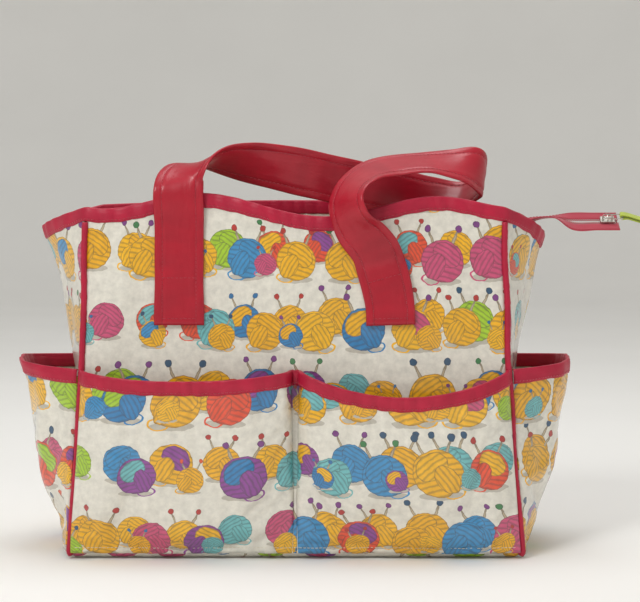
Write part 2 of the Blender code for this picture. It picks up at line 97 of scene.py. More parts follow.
TAIL_TILT = math.radians(30)
TAIL_AXIS_Z = 0.2990
TAIL_START_X, TAIL_END_X = 0.256, 0.298
COIL_HALF_GAP = 0.0016
COIL_WIDTH = 0.0020
ZIP_TAPE_WIDTH = 0.0115

# The front handle's middle line past its sewn ends, and the way its face side looks.
FRONT_LOOP = [
    ((-0.1035, -0.0690, 0.3280), (0, -1, 0.10)),
    ((-0.1000, -0.0600, 0.3430), (-0.25, -0.75, 0.60)),
    ((-0.0840, -0.0490, 0.3530), (-0.45, -0.10, 0.88)),
    ((-0.0640, -0.0410, 0.3555), (-0.30, 0.50, 0.80)),
    ((-0.0410, -0.0340, 0.3530), (-0.10, 0.80, 0.58)),
    ((-0.0120, -0.0300, 0.3480), (0, 0.94, 0.34)),
    ((0.0250, -0.0240, 0.3400), (0, 0.99, 0.10)),
    ((0.0600, -0.0150, 0.3320), (0, 1, -0.05)),
    ((0.0950, -0.0080, 0.3255), (0, 0.96, -0.25)),
    ((0.1250, -0.0040, 0.3215), (0, 0.86, -0.50)),
    ((0.1500, -0.0050, 0.3215), (0.20, 0.62, -0.75)),
    ((0.1660, -0.0110, 0.3300), (0.75, 0.28, -0.60)),
    ((0.1715, -0.0210, 0.3395), (0.98, -0.05, -0.15)),
    ((0.1640, -0.0330, 0.3470), (0.62, -0.68, 0.30)),
    ((0.1460, -0.0400, 0.3510), (0.12, -0.62, 0.75)),
    ((0.1200, -0.0430, 0.3530), (0, -0.42, 0.91)),
    ((0.0930, -0.0480, 0.3510), (-0.08, -0.42, 0.90)),
    ((0.0700, -0.0580, 0.3460), (-0.35, -0.50, 0.79)),
    ((0.0530, -0.0730, 0.3350), (-0.62, -0.60, 0.50)),
    ((0.0450, -0.0860, 0.3200), (-0.72, -0.68, 0.12)),
    ((0.0475, -0.0905, 0.3060), (-0.68, -0.73, -0.05)),
    ((0.0545, -0.0880, 0.2940), (-0.50, -0.85, -0.10)),
    ((0.0640, -0.0835, 0.2840), (-0.30, -0.94, -0.10)),
    ((0.0715, -0.0785, 0.2740), (-0.12, -0.98, -0.10)),
]

# Coated cotton as a simulated cloth: it gives little, bends stiffly, and is let grow by
# 2.5 % so that it buckles between its seams.
CLOTH = {"quality": 5, "mass": 0.12, "tension_stiffness": 25, "compression_stiffness": 25,
         "shear_stiffness": 12, "bending_stiffness": 1.2, "air_damping": 2, "shrink_min": -0.025}

# Softboxes: name, place, side in metres and power in watts; and the light of the room.
LIGHTS = [("key", (-1.25, -1.75, 1.95), 0.8, 28), ("fill", (1.9, -1.6, 0.9), 1.6, 3),
          ("top", (0.1, 0.2, 2.2), 1.1, 16)]
ROOM_LIGHT = 0.50

# Where each panel was cut from the printed cloth, metres along it.
WALL_CUTS = {"front": 0.0, "right": 0.43, "back": 0.91, "left": 1.37}
POCKET_CUTS = {"front": 0.012, "right": 0.49, "back": 0.95, "left": 1.42}

# Soft folds in each piece of fabric: from and to (across, up), width and depth; a
# positive depth stands out of the fabric.
WALL_FOLDS = {
    "front": [((-0.165, 0.16), (-0.148, 0.29), 0.010, 0.0014),
              ((-0.138, 0.17), (-0.128, 0.27), 0.008, -0.0012),
              ((-0.050, 0.17), (-0.066, 0.30), 0.013, -0.0014),
              ((0.012, 0.16), (-0.012, 0.29), 0.015, 0.0013),
              ((0.040, 0.18), (0.050, 0.29), 0.011, -0.0013),
              ((0.128, 0.17), (0.142, 0.29), 0.009, 0.0013),
              ((0.165, 0.16), (0.158, 0.28), 0.010, -0.0013)],
    "back": [((-0.150, 0.16), (-0.140, 0.29), 0.012, 0.0014),
             ((-0.035, 0.16), (-0.060, 0.29), 0.015, -0.0015),
             ((0.030, 0.17), (0.010, 0.28), 0.012, 0.0012),
             ((0.150, 0.16), (0.140, 0.30), 0.012, -0.0014)],
    "right": [((-0.030, 0.17), (-0.006, 0.28), 0.007, -0.0016),
              ((0.030, 0.17), (0.006, 0.27), 0.007, -0.0016)],
    "left": [((-0.028, 0.17), (-0.005, 0.28), 0.007, -0.0016),
             ((0.032, 0.18), (0.008, 0.28), 0.007, -0.0014)],
}
POCKET_FOLDS = {
    "front": [((-0.168, 0.015), (-0.150, 0.150), 0.011, 0.0026),
              ((-0.146, 0.020), (-0.128, 0.120), 0.009, -0.0024),
              ((-0.125, 0.008), (-0.060, 0.052), 0.013, 0.0020),
              ((-0.100, 0.090), (-0.075, 0.158), 0.016, -0.0016),
              ((-0.040, 0.010), (-0.028, 0.120), 0.012, 0.0018),
              ((0.022, 0.015), (0.036, 0.140), 0.010, 0.0020),
              ((0.055, 0.008), (0.085, 0.070), 0.013, -0.0020),
              ((0.118, 0.010), (0.128, 0.110), 0.012, 0.0018),
              ((0.150, 0.030), (0.158, 0.145), 0.010, -0.0028),
              ((0.172, 0.015), (0.168, 0.120), 0.009, 0.0022)],
    "back": [((-0.150, 0.020), (-0.135, 0.140), 0.012, 0.0024),
             ((-0.090, 0.010), (-0.050, 0.080), 0.014, -0.0020),
             ((0.040, 0.010), (0.060, 0.120), 0.013, 0.0020),
             ((0.140, 0.020), (0.150, 0.140), 0.011, -0.0024)],
    "right": [((-0.035, 0.010), (-0.020, 0.130), 0.008, 0.0022),
              ((0.000, 0.010), (0.006, 0.120), 0.010, -0.0022),
              ((0.036, 0.020), (0.026, 0.140), 0.008, 0.0018)],
    "left": [((-0.034, 0.015), (-0.024, 0.135), 0.008, 0.0020),
             ((0.004, 0.010), (-0.004, 0.110), 0.010, -0.0022),
             ((0.036, 0.015), (0.022, 0.130), 0.008, 0.0020)],
}


def linear(code, alpha=False):
    """The linear colour of an sRGB hex code."""
    shares = [int(code[i:i + 2], 16) / 255 for i in (1, 3, 5)]
    colour = tuple(c / 12.92 if c <= 0.04045 else ((c + 0.055) / 1.055) ** 2.4 for c in shares)
    return (*colour, 1.0) if alpha else colour


# ---- what a user would change -------------------------------------------------------
def length(name, description, default):
    """A size in metres that a user can set."""
    return bpy.props.FloatProperty(
        name=name, description=description, default=default, min=0, max=0.1,
        subtype="DISTANCE", unit="LENGTH", precision=4)


def colour(name, description, code):
    """A colour that a user can set, from its sRGB hex code."""
    return bpy.props.FloatVectorProperty(
        name=name, description=description, default=linear(code), size=3, min=0, max=1,
        subtype="COLOR")


class BagSizes(bpy.types.PropertyGroup):
    """Sizes of the bag's fabric, tape and stitches."""
    mesh_step: length("Fabric mesh step", "Spacing of the points in the fabric", 0.0035)
    binding_width: length("Binding width", "Width of the tape folded over each rim", 0.012)
    binding_thickness: length("Binding thickness", "Thickness of the folded tape", 0.0009)
    piping_radius: length("Piping radius", "Radius of the covered cord in the corners", 0.0028)
    strap_thickness: length("Strap thickness", "Thickness of the handles in their middle", 0.0032)
    strap_seam: length("Strap seam inset", "Distance from a strap's edge to its stitches", 0.007)
    stitch_pitch: length("Stitch pitch", "Distance from one stitch to the next", 0.0036)
    stitch_radius: length("Thread radius", "Radius of the sewing thread", 0.00032)
    coil_pitch: length("Zip coil pitch", "Distance between turns of the zip's coil", 0.0019)
    fold_scale: bpy.props.FloatProperty(
        name="Fold depth", description="How deep the fabric's folds are, as a multiple",
        default=1.4, min=0.0, max=2.0, subtype="FACTOR")


class BagColours(bpy.types.PropertyGroup):
    """Colours of the bag's fabrics and trims."""
    ground: colour("Print ground", "Ground of the printed cotton", "#E2DED2")
    leathercloth: colour("Leathercloth", "Red of the handles", "#AC1229")
    tape: colour("Binding", "Red of the bindings and the piping", "#B31C3B")
    zip_tape: colour("Zip tape", "Red of the zip", "#B3203C")
    lining: colour("Lining", "Plain cotton inside the bag", "#E6DFCE")
    thread: colour("Thread", "Sewing thread", "#A3142B")
    ribbon: colour("Puller ribbon", "Ribbon on the zip's puller", "#C3D62B")
    board: colour("Base board", "Grey board under the lining", "#8F8A80")
    floor: colour("Floor", "Floor and backdrop", "#F7F6F3")


def sizes():
    """The sizes now set in the scene."""
    return bpy.context.scene.bag_sizes


def colours():
    """The colours now set in the scene."""
    return bpy.context.scene.bag_colours


# ---- materials ----------------------------------------------------------------------
def add_node(tree, kind, inputs=(), out=0, to=None, **settings):
    """Adds a node, sets its fields and inputs, and gives back one of its outputs.

    Inputs are given in order or by name: a socket is linked to, and a value is set. The
    output also feeds the input called to, if one is given.
    """
    node = tree.nodes.new("ShaderNode" + kind)
    for name, value in settings.items():
        setattr(node, name, value)
    for key, value in inputs.items() if isinstance(inputs, dict) else enumerate(inputs):
        if isinstance(value, bpy.types.NodeSocket):
            tree.links.new(value, node.inputs[key])
        else:
            node.inputs[key].default_value = value
    result = node.outputs[out]
    if to is not None:
        tree.links.new(result, to)
    return result


def start_material(name, base, roughness, metallic=0.0, finish=None):
    """A material with one Principled shader; returns it, its tree and its shader."""
    made = bpy.data.materials.new(name)
    made.use_nodes = True
    shader = made.node_tree.nodes["Principled BSDF"]
    shader.inputs["Base Color"].default_value = (*base, 1)
    shader.inputs["Roughness"].default_value = roughness
    shader.inputs["Metallic"].default_value = metallic
    for socket, value in (finish or {}).items():
        shader.inputs[socket].default_value = value
    return made, made.node_tree, shader


def material(build):
    """Makes a material the first time that it is asked for."""
    return bpy.data.materials.get(build.__name__) or build(build.__name__)


def millimetres(tree):
    """The cloth's own flat coordinates, in millimetres."""
    uv = add_node(tree, "TexCoord", out="UV")
    return add_node(tree, "VectorMath", {0: uv, "Scale": 1000.0}, operation="SCALE")


def shade(tree, base, pattern, span, tones, to):
    """Darkens and lightens a colour by a pattern: its span of values becomes these tones."""
    tone = add_node(tree, "MapRange", [pattern, *span, *tones])
    return add_node(tree, "Mix", {0: 1.0, 6: base, 7: tone}, 2, to, data_type="RGBA", blend_type="MULTIPLY")


def plain_weave(tree, place, pitch):
    """Height of a plain weave: threads over and under in both directions."""
    across = add_node(tree, "SeparateXYZ", [place])
    height = 1.0
    for way in across.node.outputs[:2]:
        turns = add_node(tree, "Math", [way, math.pi / pitch], operation="MULTIPLY")
        wave = add_node(tree, "Math", [turns], operation="SINE")
        height = add_node(tree, "Math", [wave, height], operation="MULTIPLY")
    return height


# A ball of wool's shapes in millimetres from its middle: what each is painted as, its
# middle, its half sizes and its turn in degrees. Later shapes lie on earlier ones.
WOOL_BALL = [
    ("needle", (-8.5, 13.0), (1.3, 15.0), 25), ("knob", (-14.8, 26.4), (2.9, 2.9), 0),
    ("needle", (7.0, 13.0), (1.3, 15.0), -22), ("knob", (12.7, 26.8), (2.9, 2.9), 0),
    ("shade", (1.0, -16.5), (17.0, 3.4), 0), ("end", (11.0, -15.0), (8.4, 4.4), 10),
    ("ball", (0.0, 0.0), (19.0, 17.5), 12), ("over", (-4.0, 5.0), (13.5, 9.5), 34),
    ("across", (6.5, -4.5), (11.5, 8.5), -58),
]
STRANDS = {"ball": 8.0, "over": 5.0, "across": 4.5}
ROW_HEIGHT = 62.0
ROW_STEP = 0.37               # how far along a row starts, in cells, past the one below
BALL_MIDDLE = 0.385           # height of a ball's middle, as a share of its row
# Three layers of balls: pitch, shift, size, share of cells filled and seed.
WOOL_LAYERS = [(44.0, (22.0, -9.0), 0.92, 0.85, 3.0), (47.0, (0.0, 0.0), 1.05, 0.85, 11.0),
               (66.0, (30.0, 6.0), 0.60, 0.7, 29.0)]
WOOLS = ["#F0B414", "#EDAF10", "#3C8FC4", "#F2B818", "#A6CB2B", "#CC4F78", "#6FB9BC",
         "#F3B91A", "#E5502E", "#8E4496", "#2F7FB8", "#EEB212"]
KNOBS = ["#2F6FA3", "#B5312A", "#3C7D48", "#7C3A82", "#D9562C", "#2A4F6E"]


def picked(tree, share, codes):
    """One of several colours, chosen by a number from 0 to 1."""
    chosen = add_node(tree, "ValToRGB", [share])
    ramp = chosen.node.color_ramp
    ramp.interpolation = "CONSTANT"
    while len(ramp.elements) < len(codes):
        ramp.elements.new(0.5)
    for i, code in enumerate(codes):
        ramp.elements[i].position = i / len(codes)
        ramp.elements[i].color = linear(code, alpha=True)
    return chosen


def cast_wool(tree, cloth, pitch, shift, size, share, seed):
    """Deals one ball of wool to each cell of a grid, and finds every point's place in it.

    Gives the place in millimetres from the ball's middle, whether there is a ball, and five
    numbers from 0 to 1 that are the cell's own.
    """
    cut = add_node(tree, "SeparateXYZ", [cloth]).node
    up = add_node(tree, "Math", [cut.outputs[1], 1 / ROW_HEIGHT, (4.5 + shift[1]) / ROW_HEIGHT],
                  operation="MULTIPLY_ADD")
    row = add_node(tree, "Math", [up], operation="FLOOR")
    along = add_node(tree, "Math", [cut.outputs[0], 1 / pitch, 1000.0 + shift[0] / pitch],
                     operation="MULTIPLY_ADD")
    # Each row starts a little further along than the one below.
    along = add_node(tree, "Math", [row, ROW_STEP, along], operation="MULTIPLY_ADD")
    column = add_node(tree, "Math", [along], operation="FLOOR")
    cell = add_node(tree, "CombineXYZ", [column, row, seed])
    dice = add_node(tree, "TexWhiteNoise", {"Vector": cell}, "Value", noise_dimensions="3D")
    throws = list(add_node(tree, "SeparateColor", [dice.node.outputs["Color"]]).node.outputs) + [dice]
    for rate in (7.3, 3.7):
        mixed = add_node(tree, "Math", [dice, rate], operation="MULTIPLY")
        throws.append(add_node(tree, "Math", [mixed], operation="FRACT"))
    # No two are drawn at quite the same size, or at the same height, and half are mirrored.
    scale = add_node(tree, "Math", [throws[4], 0.26 * size, 0.88 * size], operation="MULTIPLY_ADD")
    side = add_node(tree, "Math", [throws[2], 0.5], operation="SUBTRACT")
    side = add_node(tree, "Math", [side], operation="SIGN")
    jump = add_node(tree, "Math", [throws[1], 6.0, -3.0 - BALL_MIDDLE * ROW_HEIGHT],
                    operation="MULTIPLY_ADD")
    x = add_node(tree, "Math", [along], operation="FRACT")
    x = add_node(tree, "Math", [x, pitch, -pitch / 2], operation="MULTIPLY_ADD")
    x = add_node(tree, "Math", [x, side], operation="MULTIPLY")
    y = add_node(tree, "Math", [up], operation="FRACT")
    y = add_node(tree, "Math", [y, ROW_HEIGHT, jump], operation="MULTIPLY_ADD")
    place = [add_node(tree, "Math", [way, scale], operation="DIVIDE") for way in (x, y)]
    present = add_node(tree, "Math", [throws[5], share], operation="LESS_THAN")
    return add_node(tree, "CombineXYZ", place), present, throws


def wool_row(tree, cloth, ground, *grid):
    """Paints one layer of balls of wool over a ground: one to a cell, some cells empty."""
    place, present, throws = cast_wool(tree, cloth, *grid)
    chances = []
    for rate in (5.1, 2.9):
        mixed = add_node(tree, "Math", [throws[4], rate], operation="MULTIPLY")
        chances.append(add_node(tree, "Math", [mixed], operation="FRACT"))
    wool = picked(tree, throws[0], WOOLS)
    second = picked(tree, chances[0], WOOLS[::-1])
    two_tone = add_node(tree, "Math", [throws[3], 0.6], operation="GREATER_THAN")
    turned = add_node(tree, "Mix", {0: two_tone, 6: wool, 7: second}, 2, data_type="RGBA")
    paints = {"needle": linear("#B9A98C", True), "knob": picked(tree, throws[4], KNOBS),
              "shade": linear("#BDB7AA", True), "end": wool, "ball": wool, "over": turned,
              "across": wool}
    knitting = add_node(tree, "Math", [chances[1], 0.4], operation="GREATER_THAN")
    ink = linear("#3E3A38", True)
    picture = ground
    for part, middle, half, turn in WOOL_BALL:
        spot = add_node(tree, "Mapping",
                        {"Vector": place, "Location": (*middle, 0),
                         "Rotation": (0, 0, math.radians(turn)), "Scale": (*half, 1)},
                        vector_type="TEXTURE")
        reach = add_node(tree, "VectorMath", [spot], 1, operation="LENGTH")
        shape = add_node(tree, "Math", [reach, 1.0], operation="LESS_THAN")
        shape = add_node(tree, "Math", [shape, present], operation="MULTIPLY")
        if part in ("needle", "knob"):
            shape = add_node(tree, "Math", [shape, knitting], operation="MULTIPLY")
        if part == "end":
            thread = add_node(tree, "Math", [reach, 0.80], operation="GREATER_THAN")
            shape = add_node(tree, "Math", [shape, thread], operation="MULTIPLY")
        filled = paints[part]
        if part in STRANDS:
            # Strands bow round the ball, with a dark line between each two.
            flat = add_node(tree, "SeparateXYZ", [spot]).node.outputs
            bow = add_node(tree, "Math", [flat[0], flat[0]], operation="MULTIPLY")
            bow = add_node(tree, "Math", [bow, 1.6], operation="MULTIPLY")
            wave = add_node(tree, "Math", [flat[1], STRANDS[part] * math.pi, bow],
                            operation="MULTIPLY_ADD")
            wave = add_node(tree, "Math", [wave], operation="SINE")
            line = add_node(tree, "MapRange", [wave, -0.2, 1.0, 0.0, 0.42])
            filled = add_node(tree, "Mix", {0: line, 6: filled, 7: ink}, 2, data_type="RGBA")
        if part not in ("shade", "end"):
            rim = max(1 - 0.6 / min(half), 0.6)
            outline = add_node(tree, "Math", [reach, rim], operation="GREATER_THAN")
            outline = add_node(tree, "Math", [outline, 0.45], operation="MULTIPLY")
            filled = add_node(tree, "Mix", {0: outline, 6: filled, 7: ink}, 2, data_type="RGBA")
        picture = add_node(tree, "Mix", {0: shape, 6: picture, 7: filled}, 2, data_type="RGBA")
    return picture


def coated_cotton_print(name):
    """Printed cotton with a calendered PVC coat: inks under a glossy, slightly dimpled film."""
    made, tree, shader = start_material(
        name, colours().ground, 0.34,
        finish={"Coat Weight": 0.8, "Coat Roughness": 0.13})
    flat = millimetres(tree)
    # Hand-drawn outlines wander by about a millimetre over half a motif.
    wander = add_node(tree, "TexNoise", {"Vector": flat, "Scale": 0.16, "Detail": 2.0}, "Color")
    wander = add_node(tree, "VectorMath", [wander, (0.5, 0.5, 0.5)], operation="SUBTRACT")
    cloth = add_node(tree, "VectorMath", [wander, (2.6, 2.6, 0), flat], operation="MULTIPLY_ADD")
    picture = (*colours().ground, 1)
    for layer in WOOL_LAYERS:
        picture = wool_row(tree, cloth, picture, *layer)
    # Watercolour: pigment pools over about 7 mm.
    wash = add_node(tree, "TexNoise", {"Vector": flat, "Scale": 0.14, "Detail": 4.0, "Roughness": 0.6})
    shade(tree, picture, wash, (0.3, 0.7), (0.86, 1.10), shader.inputs["Base Color"])
    # Threads lie 0.4 mm apart under the film; drawn at 1.1 mm so that they show.
    weave = add_node(tree, "Bump", {"Height": plain_weave(tree, flat, 1.1), "Strength": 0.25,
                                    "Distance": 0.00012})
    film = add_node(tree, "TexNoise", {"Vector": flat, "Scale": 0.22, "Detail": 3.0})
    add_node(tree, "Bump", {"Height": film, "Strength": 0.45, "Distance": 0.0014, "Normal": weave},
             to=shader.inputs["Normal"])
    return made


def uncoated_cotton_back(name):
    """The coated cotton's woven back: matt, off-white, with a faint weave."""
    cotton = linear("#E9E3D4")
    made, tree, shader = start_material(name, cotton, 0.85, finish={"Sheen Weight": 0.2})
    weave = plain_weave(tree, millimetres(tree), 1.1)
    # Painted shade: the weave's low points are darkened and its high points lightened, following the weave's
    # height.
    shade(tree, (*cotton, 1), weave, (-1.0, 1.0), (0.90, 1.03), shader.inputs["Base Color"])
    add_node(tree, "Bump", {"Height": weave, "Strength": 0.5, "Distance": 0.00015},
             to=shader.inputs["Normal"])
    return made


def lining_cotton(name):
    """Plain-woven cotton, piece-dyed: matt, with slubs along the threads."""
    made, tree, shader = start_material(name, colours().lining, 0.88, finish={"Sheen Weight": 0.25})
    flat = millimetres(tree)
    slub = add_node(tree, "Mapping", {"Vector": flat, "Scale": (0.06, 0.9, 1)})
    slub = add_node(tree, "TexNoise", {"Vector": slub, "Scale": 1.0, "Detail": 3.0})
    shade(tree, (*colours().lining, 1), slub, (0.3, 0.7), (0.86, 1.04), shader.inputs["Base Color"])
    # Threads lie 0.45 mm apart; drawn at 1.2 mm so that they show.
    add_node(tree, "Bump", {"Height": plain_weave(tree, flat, 1.2), "Strength": 0.6,
                            "Distance": 0.00018}, to=shader.inputs["Normal"])
    return made


def red_cloth(name, base, roughness, grain, coat, coat_roughness):
    """Shared build of the red coated cloths: worn tone, a fine grain and soft creases."""
    made, tree, shader = start_material(
        name, base, roughness, finish={"Coat Weight": coat, "Coat Roughness": coat_roughness,
                                       "Specular IOR Level": 0.3})
    flat = millimetres(tree)
    worn = add_node(tree, "TexNoise", {"Vector": flat, "Scale": 0.05, "Detail": 4.0})
    shade(tree, (*base, 1), worn, (0.3, 0.7), (0.86, 1.12), shader.inputs["Base Color"])
    add_node(tree, "MapRange", [worn, 0.3, 0.7, roughness + 0.08, roughness - 0.06],
             to=shader.inputs["Roughness"])
    pebbles = add_node(tree, "TexVoronoi", {"Vector": flat, "Scale": 1 / grain}, "Distance")
    pebbles = add_node(tree, "Bump", {"Height": pebbles, "Strength": 0.30, "Distance": 0.00012})
    creases = add_node(tree, "Mapping", {"Vector": flat, "Scale": (0.03, 0.30, 1)})
    creases = add_node(tree, "TexNoise", {"Vector": creases, "Scale": 1.0, "Detail": 3.0,
                                          "Distortion": 0.4})
    add_node(tree, "Bump", {"Height": creases, "Strength": 0.5, "Distance": 0.0010,
                            "Normal": pebbles}, to=shader.inputs["Normal"])
    return made


def leathercloth_embossed(name):
    """PVC leathercloth, embossed with a fine grain: a satin film that catches broad highlights.

    The grain's pebbles are 0.6 mm across, drawn at 1 mm so that they show.
    """
    return red_cloth(name, colours().leathercloth, 0.40, 1.0, 0.35, 0.22)


def bias_tape_coated(name):
    """Dyed cotton bias tape with a thin coat: smoother than the handles, softly glossy."""
    return red_cloth(name, colours().tape, 0.42, 0.8, 0.1, 0.3)


def thread(name, base, lit):
    """Twisted polyester sewing thread: bright edges where the plies catch light."""
    made, tree, shader = start_material(name, base[:3], 0.5, finish={"Sheen Weight": 0.3})
    edge = add_node(tree, "LayerWeight", {"Blend": 0.35}, "Facing")
    add_node(tree, "Mix", {0: edge, 6: base, 7: lit}, 2, shader.inputs["Base Color"], data_type="RGBA")
    return made


def polyester_thread(name):
    """Dyed thread, in the red of the handles and bindings."""
    return thread(name, (*colours().thread, 1), linear("#D2455B", True))


def ecru_thread(name):
    """Undyed thread: off-white."""
    return thread(name, linear("#CFC7B0", True), linear("#F3EEDF", True))


def ribbed_weave(name, base, roughness, sheen, pitch, tones, relief):
    """Shared build of the woven tapes: ribs across their width, with painted shade darkening the grooves
    between them and painted light on their crests.
    """
    made, tree, shader = start_material(name, base, roughness, finish={"Sheen Weight": sheen})
    along = add_node(tree, "SeparateXYZ", [millimetres(tree)])
    ribs = add_node(tree, "Math", [along, 2 * math.pi / pitch], operation="MULTIPLY")
    ribs = add_node(tree, "Math", [ribs], operation="SINE")
    # Painted shade and light: the colour is darker in the grooves between the ribs and lighter on their
    # crests.
    shade(tree, (*base, 1), ribs, (-1.0, 1.0), tones, shader.inputs["Base Color"])
    add_node(tree, "Bump", {"Height": ribs, "Strength": relief, "Distance": 0.0002},
             to=shader.inputs["Normal"])
    return made


def woven_zip_tape(name):
    """Woven polyester zip tape: fine ribs across its width, matt with a slight sheen.

    Ribs lie 0.5 mm apart; drawn at 1 mm so that they show.
    """
    return ribbed_weave(name, colours().zip_tape, 0.7, 0.3, 1.0, (0.82, 1.08), 0.45)


def grosgrain_ribbon(name):
    """Woven grosgrain: heavy ribs 0.9 mm apart across the ribbon, with a silky sheen."""
    return ribbed_weave(name, colours().ribbon, 0.55, 0.4, 0.9, (0.72, 1.05), 0.8)


def clouded(name, base, roughness, grain, tones, span=(0.3, 0.7), detail=2.0, finish=None):
    """Shared build of the plain materials: one colour, unevenly toned; grain is in 1/metre."""
    made, tree, shader = start_material(name, base, roughness, finish=finish)
    spot = add_node(tree, "TexCoord", out="Object")
    cloud = add_node(tree, "TexNoise", {"Vector": spot, "Scale": grain, "Detail": detail})
    shade(tree, (*base, 1), cloud, span, tones, shader.inputs["Base Color"])
    return made


def nylon_coil(name):
    """Extruded nylon monofilament, wound into a coil: smooth, waxy and a little clear."""
    return clouded(name, colours().zip_tape, 0.32, 400.0, (0.9, 1.1),
                   finish={"Subsurface Weight": 0.1, "Subsurface Scale": 0.001})


def grey_board(name):
    """Pressed grey board from waste paper: matt, flecked with fibres."""
    return clouded(name, colours().board, 0.9, 500.0, (0.75, 1.1), span=(0.35, 0.65), detail=5.0)


def studio_paper(name):
    """Matt seamless background paper: pale, with almost no gloss."""
    return clouded(name, colours().floor, 0.9, 3.0, (0.985, 1.01),
                   finish={"Specular IOR Level": 0.1})


def nickel_plated_zinc(name):
    """Die-cast zinc, tumbled and nickel plated: bright, with soft scratches."""
    made, tree, shader = start_material(name, linear("#CFCBC2"), 0.24, 1.0)
    spot = add_node(tree, "TexCoord", out="Object")
    haze = add_node(tree, "TexNoise", {"Vector": spot, "Scale": 600.0, "Detail": 4.0})
    add_node(tree, "MapRange", [haze, 0.3, 0.7, 0.16, 0.38], to=shader.inputs["Roughness"])
    add_node(tree, "Bump", {"Height": haze, "Strength": 0.15, "Distance": 0.00005},
             to=shader.inputs["Normal"])
    return made


# ---- meshes from rows of points -----------------------------------------------------
def mesh_object(name, points, faces, uv=None):
    """A mesh object; uv gives one pair for each face corner, in order."""
    mesh = bpy.data.meshes.new(name)
    mesh.from_pydata(points, [], faces)
    if uv is not None:
        layer = mesh.uv_layers.new(name="cloth")
        layer.data.foreach_set("uv", np.asarray(uv, float).ravel())
    mesh.shade_smooth()
    obj = bpy.data.objects.new(name, mesh)
    bpy.context.scene.collection.objects.link(obj)
    return obj


def grid_object(name, grid, uv=None, around=False, caps=False):
    """Quads over rows of points. around joins each row's ends: its uv has one more column."""
    grid = np.asarray(grid, float)
    rows, columns = grid.shape[:2]
    last_column = columns if around else columns - 1
    i, j = np.meshgrid(np.arange(rows - 1), np.arange(last_column), indexing="ij")
    corners = [(i, j), (i, j + 1), (i + 1, j + 1), (i + 1, j)]
    faces = np.stack([a * columns + b % columns for a, b in corners], axis=-1)
    faces = faces.reshape(-1, 4).tolist()
    pairs = None
    if uv is not None:
        uv = np.asarray(uv, float)
        pairs = np.stack([uv[a, b] for a, b in corners], axis=2).reshape(-1, 2).tolist()
    if caps:
        for row, order in ((0, -1), (rows - 1, 1)):
            faces.append([row * columns + k for k in range(columns)][::order])
            if pairs is not None:
                pairs += [tuple(uv[row, k]) for k in range(columns)][::order]
    return mesh_object(name, grid.reshape(-1, 3).tolist(), faces, pairs)


def normals_of(grid, around=False):
    """Unit normals of a grid: its columns' direction crossed with its rows'."""
    along = (np.roll(grid, -1, 1) - np.roll(grid, 1, 1)) / 2 if around else np.gradient(grid, axis=1)
    return unit(np.cross(along, np.gradient(grid, axis=0)))


def thicken(obj, thickness, offset=-1.0):
    """Gives a sheet its thickness; the back wears the second material if there is one."""
    solid = obj.modifiers.new("cloth thickness", "SOLIDIFY")
    solid.thickness = thickness
    solid.offset = offset
    if len(obj.data.materials) > 1:
        solid.material_offset = 1
    return obj


def settle_cloth(obj, held, room, frames=16):
    """Lets a sheet buckle and sag where it isn't held, and leaves the result in its mesh.

    held is 1 where the sheet is sewn down; room is how far each point may move.
    """
    rest = np.array([vertex.co for vertex in obj.data.vertices])
    group = obj.vertex_groups.new(name="held")
    for number, share in enumerate(held):
        group.add([number], float(share), "REPLACE")
    cloth = obj.modifiers.new("settling", "CLOTH")
    for field, value in CLOTH.items():
        setattr(cloth.settings, field, value)
    cloth.settings.vertex_group_mass = group.name
    cloth.collision_settings.use_collision = False
    cloth.point_cache.frame_start, cloth.point_cache.frame_end = 1, frames
    for number in range(1, frames + 1):
        bpy.context.scene.frame_set(number)
    evaluated = obj.evaluated_get(bpy.context.evaluated_depsgraph_get())
    moved = np.array([vertex.co for vertex in evaluated.data.vertices]) - rest
    obj.modifiers.remove(cloth)
    obj.vertex_groups.clear()
    bpy.context.scene.frame_set(1)
    reach = np.maximum(np.linalg.norm(moved, axis=1, keepdims=True), 1e-9)
    moved *= np.minimum(1, room[:, None] / reach)
    obj.data.vertices.foreach_set("co", (rest + moved).astype(np.float32).ravel())
    obj.data.update()


def dress(obj, *builders):
    """Gives an object its materials, in order."""
    for build in builders:
        obj.data.materials.append(material(build))
    return obj


def fit(obj, nodes=(), body="bag"):
    """Puts a piece on its body, in place of the CAD nodes that it stands for."""
    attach(obj, body)
    if nodes:
        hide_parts(*nodes)
    return obj


def smooth(values, u):
    """Smooth curve through a list of points at fractional indices u."""
    values, u = np.asarray(values, float), np.asarray(u, float)
    i = np.minimum(u.astype(int), len(values) - 2)
    f = (u - i)[:, None]
    a, b = values[np.maximum(i - 1, 0)], values[i]
    c, d = values[i + 1], values[np.minimum(i + 2, len(values) - 1)]
    return 0.5 * (2 * b + (c - a) * f + (2 * a - 5 * b + 4 * c - d) * f**2
                  + (3 * b - a - 3 * c + d) * f**3)


def unit(vectors):
    """Vectors scaled to length 1."""
    return vectors / np.maximum(np.linalg.norm(vectors, axis=-1, keepdims=True), 1e-12)


def run_length(points):
    """Distance along a line of points, from its start."""
    steps = np.linalg.norm(np.diff(points, axis=0), axis=1)
    return np.concatenate(([0.0], np.cumsum(steps)))


def respaced(points, step, *others):
    """A line of points, and values that go with it, at even steps."""
    points = np.asarray(points, float)
    run = run_length(points)
    marks = np.linspace(0, run[-1], max(2, int(round(run[-1] / step)) + 1))

    def at(values):
        return np.stack([np.interp(marks, run, column) for column in np.asarray(values, float).T], axis=1)
    return [at(points)] + [at(values) for values in others]


